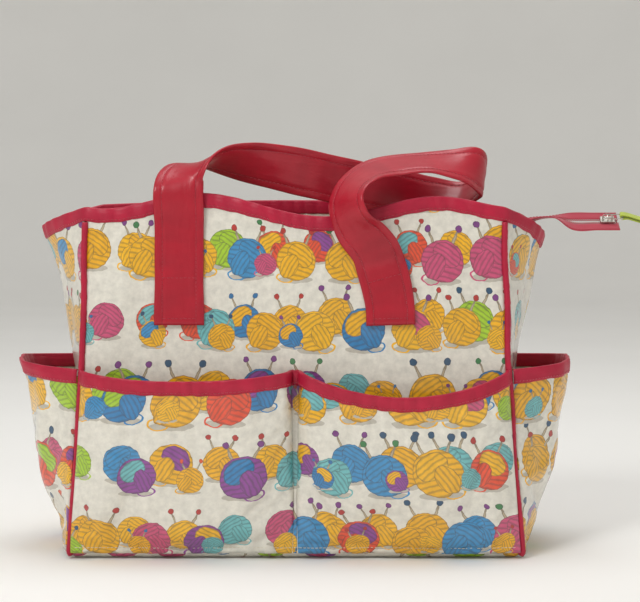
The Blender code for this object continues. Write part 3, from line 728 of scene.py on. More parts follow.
def tube(name, points, radius, sides, wobble=0.0):
    """A round cord along points, its radius a number or one for each point."""
    points = np.asarray(points, float)
    tangent = unit(np.gradient(points, axis=0))
    side = np.zeros_like(points)
    side[0] = np.cross(tangent[0], (0, 0, 1) if abs(tangent[0][2]) < 0.9 else (0, 1, 0))
    for k in range(1, len(points)):
        side[k] = side[k - 1]
        side[k] -= tangent[k] * side[k].dot(tangent[k])
        side[k] /= np.linalg.norm(side[k])
    side[0] /= np.linalg.norm(side[0])
    up = np.cross(tangent, side)
    turns = np.linspace(0, 2 * math.pi, sides, endpoint=False)
    run = run_length(points)
    thick = np.broadcast_to(np.asarray(radius, float), (len(points),))[:, None]
    thick = thick + wobble * np.sin(run[:, None] * 900 + 2 * turns[None, :])
    ring = side[:, None] * np.cos(turns)[None, :, None] + up[:, None] * np.sin(turns)[None, :, None]
    grid = points[:, None] + ring * thick[..., None]
    widths = np.linspace(0, 2 * math.pi * float(np.mean(radius)), sides + 1)
    uv = np.stack(np.meshgrid(run, widths, indexing="ij"), axis=-1)
    return grid_object(name, grid, uv, around=True, caps=True)


def stitch_row(name, points, normals, pitch=None):
    """A row of machine stitches: short, plump capsules whose ends sink into the cloth."""
    pitch, radius = pitch or sizes().stitch_pitch, sizes().stitch_radius
    lines = [(points, normals)] if isinstance(points, np.ndarray) else list(zip(points, normals))
    sides = 5
    shares = np.array((-1.0, -0.6, 0.0, 0.6, 1.0))
    girth = np.array((0.45, 0.9, 1.0, 0.9, 0.45)) * radius
    lift = radius * (0.95 - 1.5 * np.abs(shares) ** 3)
    turns = np.linspace(0, 2 * math.pi, sides, endpoint=False)
    all_points, all_faces = [], []
    count = 0
    for line, out in lines:
        line, out = respaced(line, pitch, out)
        middle, out = (line[:-1] + line[1:]) / 2, unit((out[:-1] + out[1:]) / 2)
        along = unit(line[1:] - line[:-1])
        half = np.linalg.norm(line[1:] - line[:-1], axis=1) * 0.40
        wide = np.cross(along, out)
        rings = (middle[:, None, None] + along[:, None, None] * (half[:, None] * shares)[..., None, None]
                 + out[:, None, None] * lift[None, :, None, None])
        rings = rings + girth[None, :, None, None] * (
            wide[:, None, None] * np.cos(turns)[None, None, :, None]
            + out[:, None, None] * np.sin(turns)[None, None, :, None])
        all_points.append(rings.reshape(-1, 3))
        for k in range(len(middle)):
            first = count + k * len(shares) * sides
            for i in range(len(shares) - 1):
                for j in range(sides):
                    m = (j + 1) % sides
                    low, high = first + i * sides, first + (i + 1) * sides
                    all_faces.append((low + j, high + j, high + m, low + m))
            all_faces.append([first + j for j in range(sides)])
            tail = first + (len(shares) - 1) * sides
            all_faces.append([tail + j for j in range(sides)][::-1])
        count += len(middle) * len(shares) * sides
    obj = mesh_object(name, np.concatenate(all_points).tolist(), all_faces)
    return dress(obj, polyester_thread)


# ---- the bag's shape ----------------------------------------------------------------
def corner_x(z):
    """Half width between the corner pipings at height z."""
    return TOP_HALF_WIDTH + (BASE_HALF_WIDTH - TOP_HALF_WIDTH) * (1 - z / RIM_HEIGHT) ** 2


def half_depth(z):
    """Half depth between the corner pipings at height z."""
    return BASE_HALF_DEPTH - (BASE_HALF_DEPTH - TOP_HALF_DEPTH) * (z / RIM_HEIGHT) ** 2


def is_broad(side):
    """True for the front and the back, False for the gussets at the two ends."""
    return side in ("front", "back")


def half_span(side):
    """Half of a side's width between its two corners at the rim."""
    return TOP_HALF_WIDTH if is_broad(side) else TOP_HALF_DEPTH


def foot_tuck(z):
    """How far the walls turn in at the foot, round the board's edge."""
    drop = np.clip(FOOT_RADIUS - z, 0, FOOT_RADIUS)
    return FOOT_RADIUS - np.sqrt(FOOT_RADIUS**2 - drop**2)


def rim_wave(x):
    """The front rim's slow wave: up beside each strap and down between them."""
    window = 1 - np.minimum(1.0, np.abs(x) / TOP_HALF_WIDTH) ** 4
    return window * np.cos(2 * math.pi * (x + 0.090) / 0.230)


def rim_height(side, s):
    """Height of the fabric's top edge, s running from -1 to 1 along one side."""
    s = np.asarray(s, float)
    if side == "front":
        return RIM_HEIGHT + 0.0025 * (1 - s * s) + 0.0108 * rim_wave(s * TOP_HALF_WIDTH)
    if side == "back":
        return RIM_HEIGHT + 0.004 * (1 - s * s)
    return RIM_HEIGHT - (LEFT_TIP_DROP if side == "left" else RIGHT_TIP_DROP) * (1 - np.abs(s))


def ripple(a, b, seed, wavelength, amount):
    """Slow uneven swell of a soft sheet: a few waves, the same each time."""
    dice = np.random.default_rng(seed)
    total = 0
    for _ in range(7):
        turn, phase = dice.uniform(0, math.pi), dice.uniform(0, 2 * math.pi)
        rate = 2 * math.pi / (wavelength * dice.uniform(0.7, 1.6))
        total = total + np.sin(rate * (a * math.cos(turn) + b * math.sin(turn)) + phase)
    return amount * total / 2.6


def fold(a, b, start, end, width, depth):
    """A soft fold along a line, deepest in its middle and gone at its ends."""
    start, step = np.array(start), np.array(end) - np.array(start)
    reach = np.hypot(*step)
    share = ((a - start[0]) * step[0] + (b - start[1]) * step[1]) / reach**2
    off = ((a - start[0]) * step[1] - (b - start[1]) * step[0]) / reach
    fade = np.clip(1 - (2 * share - 1) ** 2, 0, 1)
    return depth * fade * np.exp(-(off / width) ** 2)


def puckers(a, below, pitch, sway, depth):
    """Small uneven puckers just under a binding, where sewing it on draws the fabric in."""
    near_rim = np.clip((0.045 - below) / 0.033, 0, 1)
    return depth * near_rim * np.sin(a * 2 * math.pi / pitch + 2 * np.sin(a * sway))


def under_straps(side, a, z):
    """1 where a strap's sewn end holds the wall flat, 0 elsewhere."""
    straps = {"front": (LEFT_STRAP_X, RIGHT_STRAP_X), "back": (-BACK_STRAP_X, BACK_STRAP_X)}
    held = 0
    for x in straps.get(side, ()):
        off = np.clip((np.abs(a - x) - STRAP_WIDTH / 2) / 0.012, 0, 1)
        low = np.clip((STRAP_END_HEIGHT - z) / 0.012, 0, 1)
        held = np.maximum(held, (1 - off) * (1 - low))
    return held


def wall_swell(side, s, z):
    """How far the fabric of a wall stands out of its smooth shape."""
    half = half_span(side)
    a = s * half
    swell = ripple(a, z, SIDES.index(side) + 5, 0.075, 0.0006)
    for start, end, width, depth in WALL_FOLDS[side]:
        swell = swell + fold(a, z, start, end, width, depth)
    swell = swell + puckers(a, rim_height(side, s) - z, 0.013, 60, 0.00035)
    edge = np.clip((1 - np.abs(s)) * half / 0.012, 0, 1)
    return sizes().fold_scale * swell * edge * (1 - 0.9 * under_straps(side, a, z))


def wall_point(side, s, z, swell=True):
    """Points on the outer face of a wall. s runs anticlockwise seen from above."""
    s, z = np.broadcast_arrays(np.asarray(s, float), np.asarray(z, float))
    height = z / RIM_HEIGHT
    tuck = foot_tuck(z)
    bump = wall_swell(side, s, z) if swell else 0
    if is_broad(side):
        x = s * (corner_x(z) - tuck)
        lean = 0.005 * (1 - s * s) * height**2 + bump - tuck
        if side == "front":
            lean = lean - 0.002 * rim_wave(s * corner_x(z)) * height**3
            return np.stack((x, -half_depth(z) - lean, z), axis=-1)
        return np.stack((-x, half_depth(z) + lean, z), axis=-1)
    x = corner_x(z) - tuck + TIP_OUT * height**2 * (1 - np.abs(s) ** 1.3) + bump
    y = s * (half_depth(z) - tuck)
    return np.stack((x, y, z) if side == "right" else (-x, -y, z), axis=-1)


def strip_share(s, z=POCKET_HEIGHT):
    """How far s lies from the pleat (0) to the corner (1); the pleat narrows downwards."""
    end = 1 - CORNER_CLEAR / TOP_HALF_WIDTH
    open_share = PLEAT_FOOT_SHARE + 0.45 * np.clip(z / POCKET_HEIGHT, 0, 1) ** 2
    pleat = PLEAT_HALF_WIDTH / TOP_HALF_WIDTH * open_share
    return np.clip((np.abs(s) - pleat) / (end - pleat), 0.0, 1.0)


def pocket_rim(side, s):
    """Height of a pocket's top edge."""
    s = np.asarray(s, float)
    if not is_broad(side):
        return POCKET_HEIGHT + 0.007 * (1 - np.abs(s))
    middle = 1 - (2 * strip_share(s) - 1) ** 2
    sag = np.where(s > 0, 0.021, 0.007) if side == "front" else 0.010
    return POCKET_HEIGHT - sag * middle


def pocket_swell(side, s, z):
    """How far a pocket's fabric stands out of its smooth shape."""
    half = half_span(side)
    a = s * half
    swell = ripple(a, z, SIDES.index(side) + 31, 0.065, 0.0009)
    for start, end, width, depth in POCKET_FOLDS[side]:
        swell = swell + fold(a, z, start, end, width, depth)
    foot = np.clip(1 - (z - SEAM_HEIGHT) / 0.030, 0, 1) ** 1.5
    swell = swell + 0.0008 * foot * np.sin(a * 2 * math.pi / 0.017 + 3 * np.sin(a * 47))
    swell = swell + puckers(a, pocket_rim(side, s) - z, 0.014, 71, 0.0004)
    edge = np.clip((1 - np.abs(s)) * half / 0.015, 0, 1)
    if is_broad(side):
        edge = edge * np.clip((np.abs(a) - PLEAT_HALF_WIDTH) / 0.012, 0, 1)
    return sizes().fold_scale * swell * edge


def pocket_point(side, s, z):
    """Points on the inner face of a pocket."""
    s, z = np.broadcast_arrays(np.asarray(s, float), np.asarray(z, float))
    share = z / POCKET_HEIGHT
    point = wall_point(side, s, z)
    flat = wall_point(side, s, z, swell=False)
    fluff = pocket_swell(side, s, z)
    if not is_broad(side):
        out = 1 if side == "right" else -1
        end = 1 - CORNER_CLEAR / TOP_HALF_DEPTH
        bulge = SIDE_POCKET_OUT * share**0.8 * (1 - np.minimum(np.abs(s / end), 1) ** 3.0)
        proud = np.maximum(bulge - (np.abs(flat[..., 0]) - corner_x(z)) + fluff, 0.0)
        return point + np.stack((out * (POCKET_STANDOFF + proud), 0 * s, 0 * s), axis=-1)
    out = -1 if side == "front" else 1
    # Steeper beside the pleat than at the corner, so that the pleat is a deep slit.
    along = strip_share(s, z)
    body = np.maximum(1 - np.abs(2 * along - 1) ** 3.2, 0.0) ** (0.34 + 0.18 * along)
    swell = POCKET_SWELL * body * share**0.9 + np.maximum(fluff, -POCKET_SWELL * body * share**0.9)
    return point + np.stack((0 * s, out * (POCKET_STANDOFF + swell), 0 * s), axis=-1)


def columns(side, step=None, pleat=False):
    """Even values of s across a side, closer together beside a pocket strip's pleat."""
    half = half_span(side)
    end = 1 - CORNER_CLEAR / half
    count = int(2 * half / (step or sizes().mesh_step)) | 1
    even = np.linspace(-end, end, count)
    if not (pleat and is_broad(side)):
        return even
    edge = PLEAT_FOOT_SHARE * PLEAT_HALF_WIDTH / half
    shares = np.concatenate((np.linspace(0, 1, 13) ** 2 * 0.08, np.linspace(0.08, 0.93, count // 2)[1:],
                             1 - np.linspace(1, 0, 7)[1:] ** 2 * 0.07))
    right = edge + (end - edge) * shares
    return np.concatenate((-right[::-1], [0.0], right))


def wall_uv(side, s, z):
    """Flat cloth coordinates of a wall, metres across and up."""
    half = BASE_HALF_WIDTH if is_broad(side) else BASE_HALF_DEPTH
    s, z = np.broadcast_arrays(s, z)
    return np.stack((s * half + WALL_CUTS[side], z), axis=-1)


# ---- operators ----------------------------------------------------------------------
class KNITTING_BAG_OT_stage(bpy.types.Operator):
    """Floor, backdrop, lights and camera"""
    bl_idname = "knitting_bag.stage"
    bl_label = "Stage"

    def execute(self, context):
        scene = bpy.context.scene
        scene.view_settings.view_transform = "Standard"
        self.add_floor()
        for light in LIGHTS:
            self.add_light(*light)
        world = bpy.data.worlds.new("studio")
        world.use_nodes = True
        background = world.node_tree.nodes["Background"]
        background.inputs["Color"].default_value = (1.0, 0.99, 0.97, 1)
        background.inputs["Strength"].default_value = ROOM_LIGHT
        scene.world = world
        self.add_camera()
        return {"FINISHED"}

    def add_floor(self):
        """A floor that turns up into a pale wall all round, well outside any view's camera."""
        flat, bend, high = 3.2, 1.6, 4.5
        turns = np.linspace(0, math.pi / 2, 12)
        line = [(0.01, 0.0), (1.0, 0.0)]
        line += [(flat + bend * math.sin(t), bend - bend * math.cos(t)) for t in turns]
        line.append((flat + bend, high))
        ways = np.linspace(0, 2 * math.pi, 72, endpoint=False)
        grid = [[(r * math.cos(w), r * math.sin(w), z) for w in ways] for r, z in line]
        floor = dress(grid_object("studio_floor", grid, around=True), studio_paper)

    def add_light(self, name, place, size, power):
        """A square softbox that points at the bag's middle."""
        lamp = bpy.data.lights.new(name, "AREA")
        lamp.shape = "SQUARE"
        lamp.size = size
        lamp.energy = power
        obj = bpy.data.objects.new(name, lamp)
        obj.location = place
        aim = Vector((0, 0, 0.18)) - obj.location
        obj.rotation_euler = aim.to_track_quat("-Z", "Y").to_euler()
        bpy.context.scene.collection.objects.link(obj)

    def add_camera(self):
        """Straight on to the front and a little above, as far off as a product is shot from."""
        view_width, distance, elevation = 0.566, 1.6, math.radians(4)
        target = Vector((0.0221, -BASE_HALF_DEPTH, 0.2307))
        lens = bpy.data.cameras.new("camera")
        lens.sensor_width = 36.0
        lens.lens = lens.sensor_width * distance / view_width
        camera = bpy.data.objects.new("camera", lens)
        back = Vector((0, -math.cos(elevation), math.sin(elevation)))
        camera.location = target + back * distance
        camera.rotation_euler = (-back).to_track_quat("-Z", "Y").to_euler()
        bpy.context.scene.collection.objects.link(camera)
        bpy.context.scene.camera = camera


class KNITTING_BAG_OT_base(bpy.types.Operator):
    """Base fabric turned up round the board, the board and the base lining"""
    bl_idname = "knitting_bag.base"
    bl_label = "Base"

    def execute(self, context):
        reach = math.sqrt(FOOT_RADIUS**2 - (FOOT_RADIUS - SEAM_HEIGHT) ** 2)
        inner = np.array((BASE_HALF_WIDTH - FOOT_RADIUS, BASE_HALF_DEPTH - FOOT_RADIUS))
        bend = reach * np.sin(np.linspace(0, math.pi / 2, 8))[1:]

        def profile(half, cells):
            flat = np.linspace(-half, half, cells)
            place = np.concatenate((-half + 0 * bend, flat, half + 0 * bend))
            over = np.concatenate((-bend[::-1], 0 * flat, bend))
            return place, over
        x, over_x = profile(inner[0], 60)
        y, over_y = profile(inner[1], 24)
        px, py = np.meshgrid(x, y)
        ox, oy = np.meshgrid(over_x, over_y)
        radius = np.maximum(np.abs(ox), np.abs(oy))
        squash = radius / np.maximum(np.hypot(ox, oy), 1e-9)
        rise = FOOT_RADIUS - np.sqrt(FOOT_RADIUS**2 - radius**2)
        # Between its seams the fabric lifts off the ground here and there.
        lift = np.maximum(ripple(px, py, 91, 0.09, 0.0004), 0) * (radius == 0)
        grid = np.stack((px + ox * squash, py + oy * squash, rise + lift), axis=-1)
        uv = np.stack((px + 1.4 * ox + 0.17, py + 1.4 * oy + 0.06), axis=-1)
        base = grid_object("base_fabric", grid[::-1], uv[::-1])
        thicken(dress(base, coated_cotton_print, uncoated_cotton_back), FABRIC)
        fit(base, ["base_panel"])
        dress_node("base_board", grey_board)
        low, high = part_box("lining_base")
        x, y = np.meshgrid(np.linspace(low.x, high.x, 70), np.linspace(low.y, high.y, 28))
        z = high.z + 0.0004 + np.maximum(ripple(x, y, 17, 0.08, 0.0007), -0.0004)
        floor = grid_object("lining_floor", np.stack((x, y, z), axis=-1), np.stack((x, y), axis=-1))
        thicken(dress(floor, lining_cotton), LINING)
        fit(floor, ["lining_base"])
        return {"FINISHED"}


class KNITTING_BAG_OT_walls(bpy.types.Operator):
    """Front, back and gusset panels with their folds"""
    bl_idname = "knitting_bag.walls"
    bl_label = "Walls"

    def execute(self, context):
        nodes = {"front": "front_panel", "back": "back_panel",
                 "left": "gusset_left", "right": "gusset_right"}
        for side in SIDES:
            s = columns(side)[None, :]
            shares = np.linspace(0, 1, int(RIM_HEIGHT / sizes().mesh_step))[:, None]
            z = SEAM_HEIGHT + shares * (rim_height(side, s) - GAP - SEAM_HEIGHT)
            wall = grid_object(f"{nodes[side]}_cloth", wall_point(side, s, z), wall_uv(side, s, z))
            thicken(dress(wall, coated_cotton_print, uncoated_cotton_back), FABRIC)
            fit(wall, [nodes[side]])
        return {"FINISHED"}


class KNITTING_BAG_OT_lining(bpy.types.Operator):
    """Cotton lining inside the walls"""
    bl_idname = "knitting_bag.lining"
    bl_label = "Lining"

    def execute(self, context):
        foot = 0.0072
        for side in SIDES:
            s = columns(side, 0.006)[None, :] * 0.975
            shares = np.linspace(0, 1, 50)[:, None]
            z = foot + shares * (rim_height(side, s) - GAP - foot)
            outer = wall_point(side, s, z)
            grid = outer - normals_of(outer) * (FABRIC + LINING_GAP)
            inner = grid_object(f"lining_{side}_cloth", grid, wall_uv(side, s, z))
            thicken(dress(inner, lining_cotton), LINING)
            fit(inner, [f"lining_{side}"])
        return {"FINISHED"}


def binding_grid(edge_point, edge_height, stack, normal, seed):
    """Rows of a tape folded over a cloth edge; edge_point(z) gives the cloth's own face."""
    width, thick = sizes().binding_width, sizes().binding_thickness
    profile = [(width, 0.1), (width - 0.0006, 0.75), (0.80 * width, 1.0), (0.45 * width, 1.05),
               (0.15 * width, 1.0), (0.03 * width, 0.75)]
    lap = GAP + thick
    rows = []
    run = np.arange(len(edge_height))
    pucker = 0.00028 * np.sin(run * 1.9 + 2.2 * np.sin(run * 0.31 + seed)) + 0.00022 * np.sin(run * 0.77)
    hem = 0.0003 * np.sin(run * 0.83 + seed) + 0.0003 * np.sin(run * 0.21)
    for drop, share in profile:
        low = drop / width
        z = edge_height - drop + hem * low
        rows.append(edge_point(z) + normal * (lap * share + pucker * low * 1.2)[:, None])
    top = edge_point(edge_height)
    for turn in (35, 75, 115, 150):
        angle = math.radians(turn)
        place = top + normal * (-stack / 2 + (stack / 2 + lap) * math.cos(angle))
        place[:, 2] += lap * 0.95 * math.sin(angle)
        rows.append(place)
    for drop, share in profile[::-1]:
        z = edge_height - drop
        rows.append(edge_point(z) - normal * (stack + lap * share))
    return np.stack(rows)


def binding_piece(name, grid, closed, nodes):
    """The folded tape, and the row of stitches along its lower edge outside."""
    run = run_length(np.concatenate((grid[3], grid[3][:1])) if closed else grid[3])
    down = run_length(grid[:, grid.shape[1] // 2])
    uv = np.stack(np.meshgrid(down, run, indexing="ij"), axis=-1)[..., ::-1]
    tape = grid_object(name, grid, uv, around=closed)
    thicken(dress(tape, bias_tape_coated), sizes().binding_thickness, offset=-1.0)
    fit(tape, nodes)
    line, out = grid[2], normals_of(grid, around=closed)[2]
    if closed:
        line, out = np.concatenate((line, line[:1])), np.concatenate((out, out[:1]))
    stitches = stitch_row(f"{name}_stitches", line, out)
    fit(stitches)


class KNITTING_BAG_OT_bindings(bpy.types.Operator):
    """Folded tape over the bag's rim and each pocket's rim, with its stitches"""
    bl_idname = "knitting_bag.bindings"
    bl_label = "Bindings"

    def execute(self, context):
        step = 0.0025
        parts = [(side, s) for side in SIDES for s in columns(side, step)]
        height = np.array([float(rim_height(side, s)) for side, s in parts]) - GAP

        def rim_point(z):
            rows, first = [], 0
            for side in SIDES:
                s = columns(side, step)
                rows.append(wall_point(side, s, z[first:first + len(s)]))
                first += len(s)
            return np.concatenate(rows)
        face = rim_point(height - sizes().binding_width / 2)
        along = (np.roll(face, -1, 0) - np.roll(face, 1, 0)) * np.array((1, 1, 0))
        normal = unit(np.cross(along, (0, 0, 1.0)))
        grid = binding_grid(rim_point, height, FABRIC + LINING_GAP + LINING, normal, 1.0)
        binding_piece("rim_binding_tape", grid, True, ["rim_binding"])
        for number, side in enumerate(SIDES):
            s = columns(side, step, pleat=True)
            height = pocket_rim(side, s)

            def edge(z, side=side, s=s):
                flat = pocket_point(side, s, z)
                return flat + unit(np.cross(np.gradient(flat, axis=0), (0, 0, 1.0))) * FABRIC
            face = edge(height - sizes().binding_width / 2)
            along = np.gradient(face, axis=0) * np.array((1, 1, 0))
            normal = unit(np.cross(along, (0, 0, 1.0)))
            grid = binding_grid(edge, height, FABRIC, normal, 2.0 + number)
            binding_piece(f"pocket_binding_{side}_tape", grid, False,
                          [f"pocket_binding_{side}"])
        return {"FINISHED"}


class KNITTING_BAG_OT_pockets(bpy.types.Operator):
    """Pocket strips on the front, back and gussets"""
    bl_idname = "knitting_bag.pockets"
    bl_label = "Pockets"

    def execute(self, context):
        for side in SIDES:
            s = columns(side, pleat=True)[None, :]
            shares = np.linspace(0, 1, int(POCKET_HEIGHT / sizes().mesh_step))[:, None]
            z = SEAM_HEIGHT - 0.0015 + shares * (pocket_rim(side, s) - SEAM_HEIGHT + 0.0015)
            inner = pocket_point(side, s, z)
            run = np.stack([run_length(row) for row in inner])
            middle = run[:, run.shape[1] // 2][:, None]
            uv = np.stack((run - middle + POCKET_CUTS[side], z + 0 * s), axis=-1)
            pocket = grid_object(f"pocket_{side}_cloth", inner + normals_of(inner) * FABRIC, uv)
            self.settle(pocket, side, s, z, inner)
            thicken(dress(pocket, coated_cotton_print, uncoated_cotton_back), FABRIC)
            fit(pocket, [f"pocket_{side}"])
            self.add_foot_stitches(side, s[0])
        return {"FINISHED"}

    def settle(self, pocket, side, s, z, inner):
        """Buckles a pocket's fabric between its seams, its rim and its pleat."""
        half = half_span(side)
        from_ends = (1 - np.abs(s)) * half - CORNER_CLEAR
        if is_broad(side):
            from_ends = np.minimum(from_ends, np.abs(np.abs(s) * half - PLEAT_HALF_WIDTH))
            from_ends = np.where(np.abs(s) * half < PLEAT_HALF_WIDTH, 0, from_ends)
        below_rim = pocket_rim(side, s) - sizes().binding_width - z
        free = np.minimum(np.minimum(from_ends, below_rim), z - SEAM_HEIGHT)
        held = 1 - np.clip(free / 0.008, 0, 1)
        gap = np.linalg.norm(inner - wall_point(side, s, z), axis=-1)
        room = np.minimum(0.005, 0.5 * np.maximum(gap - POCKET_STANDOFF, 0)) * (1 - held)
        settle_cloth(pocket, np.where(held > 0.02, held, 0).ravel(), room.ravel())

    def add_foot_stitches(self, side, s):
        """The seam along a pocket's foot, just above the base fabric."""
        z = np.full(len(s), SEAM_HEIGHT + 0.0035)
        line = pocket_point(side, s, z)
        out = unit(np.cross(np.gradient(line, axis=0), (0, 0, 1.0)))
        keep = slice(3, -3)
        row = stitch_row(f"pocket_{side}_foot_stitches", (line + out * FABRIC)[keep], out[keep])
        row.data.materials[0] = material(ecru_thread)
        fit(row)


class KNITTING_BAG_OT_piping(bpy.types.Operator):
    """Covered cords up the four corners"""
    bl_idname = "knitting_bag.piping"
    bl_label = "Piping"

    def execute(self, context):
        top = RIM_HEIGHT - sizes().binding_width - 0.0012
        z = np.linspace(0.0035, top, 150)
        tuck = foot_tuck(z)
        for name, sx, sy in (("front_left", -1, -1), ("front_right", 1, -1),
                             ("back_left", -1, 1), ("back_right", 1, 1)):
            seed = 10 + sx + 5 * sy
            sway = ripple(z, 0 * z, seed, 0.07, 0.0006)
            points = np.stack((sx * (corner_x(z) - tuck + sway), sy * (half_depth(z) - tuck), z), axis=-1)
            radius = sizes().piping_radius * (1 + 0.05 * np.sin(z * 420 + seed) + 0.03 * np.sin(z * 1300))
            cord = tube(f"piping_{name}_cord", points, radius, sides=14, wobble=0.00008)
            dress(cord, bias_tape_coated)
            fit(cord, [f"piping_{name}"])
        return {"FINISHED"}


def strap_frames(stations, step):
    """Middle line of a strap at even steps, with its face and sideways directions."""
    u = np.linspace(0, len(stations) - 1, 60 * len(stations))
    places = smooth([place for place, _ in stations], u)
    faces = smooth([face for _, face in stations], u)
    points, faces = respaced(places, step, faces)
    along = unit(np.gradient(points, axis=0))
    faces = unit(faces - along * np.sum(faces * along, axis=1, keepdims=True))
    return points, faces, np.cross(along, faces)


def strap_section():
    """Half a strap's outline: share across its width and height of its face."""
    seam = 1 - sizes().strap_seam / (STRAP_WIDTH / 2)
    shares = np.array((-1.0, -0.992, -0.97, -0.93, -0.87, -0.80, -0.75, -0.715, -seam, -0.65, -0.60, -0.50,
                       -0.35, -0.18, 0.0))
    shares = np.concatenate((shares, -shares[-2::-1]))
    edge = np.sqrt(np.clip(1 - np.clip((np.abs(shares) - 0.90) / 0.10, 0, 1) ** 2, 0, 1))
    groove = np.exp(-((np.abs(shares) - seam) / 0.045) ** 2)
    crown = 1 - 0.12 * np.abs(shares) ** 2
    return shares, edge * (crown - 0.30 * groove)


def strap_grid(points, faces, across, seed):
    """Rings of points round a strap, with long soft ridges that come and go."""
    shares, height = strap_section()
    run = run_length(points)[:, None]
    half = sizes().strap_thickness / 2
    ridge = ripple(run * 0.22, shares[None, :] * STRAP_WIDTH / 2, seed, 0.012, 0.00016)
    ridge = ridge * (height > 0.5) * np.clip(1 - np.abs(shares), 0, 0.2) * 5
    front = half * height[None, :] + ridge
    back = -(half * height[None, :] + np.roll(ridge, 7, axis=0))
    # The edges wander by a fraction of a millimetre, as a turned and topstitched strap's do.
    wander = 1 + 0.012 * np.sin(run * 55 + seed) + 0.008 * np.sin(run * 131)
    place = shares[None, :] * wander * STRAP_WIDTH / 2
    top = points[:, None] + across[:, None] * place[..., None] + faces[:, None] * front[..., None]
    low = points[:, None] + across[:, None] * place[..., None] + faces[:, None] * back[..., None]
    return np.concatenate((top[:, ::-1], low[:, 1:-1]), axis=1), run[:, 0]


def strap_piece(name, stations, nodes, boxes, seed):
    """A handle in one strap with its stitches, bent between the bag and its free loop."""
    points, faces, across = strap_frames(stations, 0.003)
    grid, run = strap_grid(points, faces, across, seed)
    widths = np.linspace(0, 2 * STRAP_WIDTH, grid.shape[1] + 1)
    uv = np.stack(np.meshgrid(run, widths, indexing="ij"), axis=-1)
    strap = dress(grid_object(name, grid, uv, around=True, caps=True), leathercloth_embossed)
    seam = STRAP_WIDTH / 2 - sizes().strap_seam
    lift = sizes().strap_thickness / 2 * 0.68
    lines, outs = [], []
    for side in (-1, 1):
        for face in (-1, 1):
            lines.append(points + across * side * seam + faces * face * lift)
            outs.append(faces * face)
    for first in boxes:
        row = points[first] + np.linspace(-seam, seam, 9)[:, None] * across[first]
        lines.append(row + faces[first] * sizes().strap_thickness / 2 * 0.95)
        outs.append(np.repeat(faces[first][None], 9, axis=0))
    stitches = stitch_row(f"{name}_stitches", lines, outs)
    for piece in (strap, stitches):
        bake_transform(piece)
    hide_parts(*nodes)


def on_wall(side, x, z):
    """Station on a strap's middle line where it lies on a wall or on the rim binding."""
    out = -1 if side == "front" else 1
    edges = (x + np.array((-0.5, 0, 0.5)) * STRAP_WIDTH) / corner_x(z)
    reach = float((out * wall_point(side, out * -edges, z, swell=False)[:, 1]).max())
    lap = 0.0014 if z > 0.286 else 0.0
    return ((x, out * (reach + 2 * GAP + lap + 0.0014), z), (0, out, 0))


class KNITTING_BAG_OT_front_handle(bpy.types.Operator):
    """Front handle: sewn down, up over the rim, and fallen back in a doubled loop"""
    bl_idname = "knitting_bag.front_handle"
    bl_label = "Front handle"

    def execute(self, context):
        left = [on_wall("front", LEFT_STRAP_X, z) for z in (STRAP_END_HEIGHT, 0.232, 0.2545, 0.278, 0.302)]
        right = [on_wall("front", RIGHT_STRAP_X - lean, z) for lean, z in
                 ((0.0094, 0.2630), (0.0040, 0.244), (0.0008, 0.226), (0, STRAP_END_HEIGHT))]
        stations = left + FRONT_LOOP + right
        nodes = ["handle_front", "handle_front_left_end", "handle_front_right_end"]
        strap_piece("front_handle_strap", stations, nodes,
                    (2, 14, -3, -15), 8)
        return {"FINISHED"}


class KNITTING_BAG_OT_back_handle(bpy.types.Operator):
    """Back handle: sewn down, folded outwards over its seam and hanging"""
    bl_idname = "knitting_bag.back_handle"
    bl_label = "Back handle"

    def execute(self, context):
        x = BACK_STRAP_X
        rise = [on_wall("back", -x, z) for z in (STRAP_END_HEIGHT, 0.24, 0.27, BACK_FOLD_HEIGHT)]
        rise += [((-x, 0.0728, 0.3068), (0, 0.75, -0.65)), ((-x, 0.0765, 0.3072), (0, -0.45, -0.90)),
                 ((-x, 0.0795, 0.3015), (0, -1, -0.1)), ((-x, 0.0840, 0.278), (0, -1, -0.15)),
                 ((-x, 0.0920, 0.240), (0, -1, -0.2)), ((-x, 0.1060, 0.195), (0, -1, -0.25))]
        arc = [((-x * math.cos(a), 0.1175 + 0.003 * math.sin(a), 0.150 - 0.062 * math.sin(a)), (0, -1, -0.05))
               for a in np.linspace(0, math.pi, 9)]
        stations = rise + arc + [((-p[0], p[1], p[2]), n) for p, n in rise[::-1]]
        nodes = ["handle_back", "handle_back_left_end", "handle_back_right_end"]
        strap_piece("back_handle_strap", stations, nodes,
                    (2, 20, -3, -21), 21)
        return {"FINISHED"}


def facing_grid(side, count=90):
    """A strip sewn under the rim, leaning into the mouth and carrying half of the zip."""
    ends = (-0.88, 0.80) if side == "front" else (-0.80, 0.88)
    s = np.linspace(*ends, count)
    rows = []
    for share in np.linspace(0, 1, 9):
        drop, lean = 0.0150 + 0.035 * share, 0.0052 + 0.0103 * share
        point = wall_point(side, s, rim_height(side, s) - drop)
        point[:, 1] += lean if side == "front" else -lean
        rows.append(point)
    return np.stack(rows[::-1])


def tail_point(across, lift=0.0):
    """Offset from the tail's middle line, across its width and off its face."""
    return np.array((0, across * math.cos(TAIL_TILT) - lift * math.sin(TAIL_TILT),
                     across * math.sin(TAIL_TILT) + lift * math.cos(TAIL_TILT)))


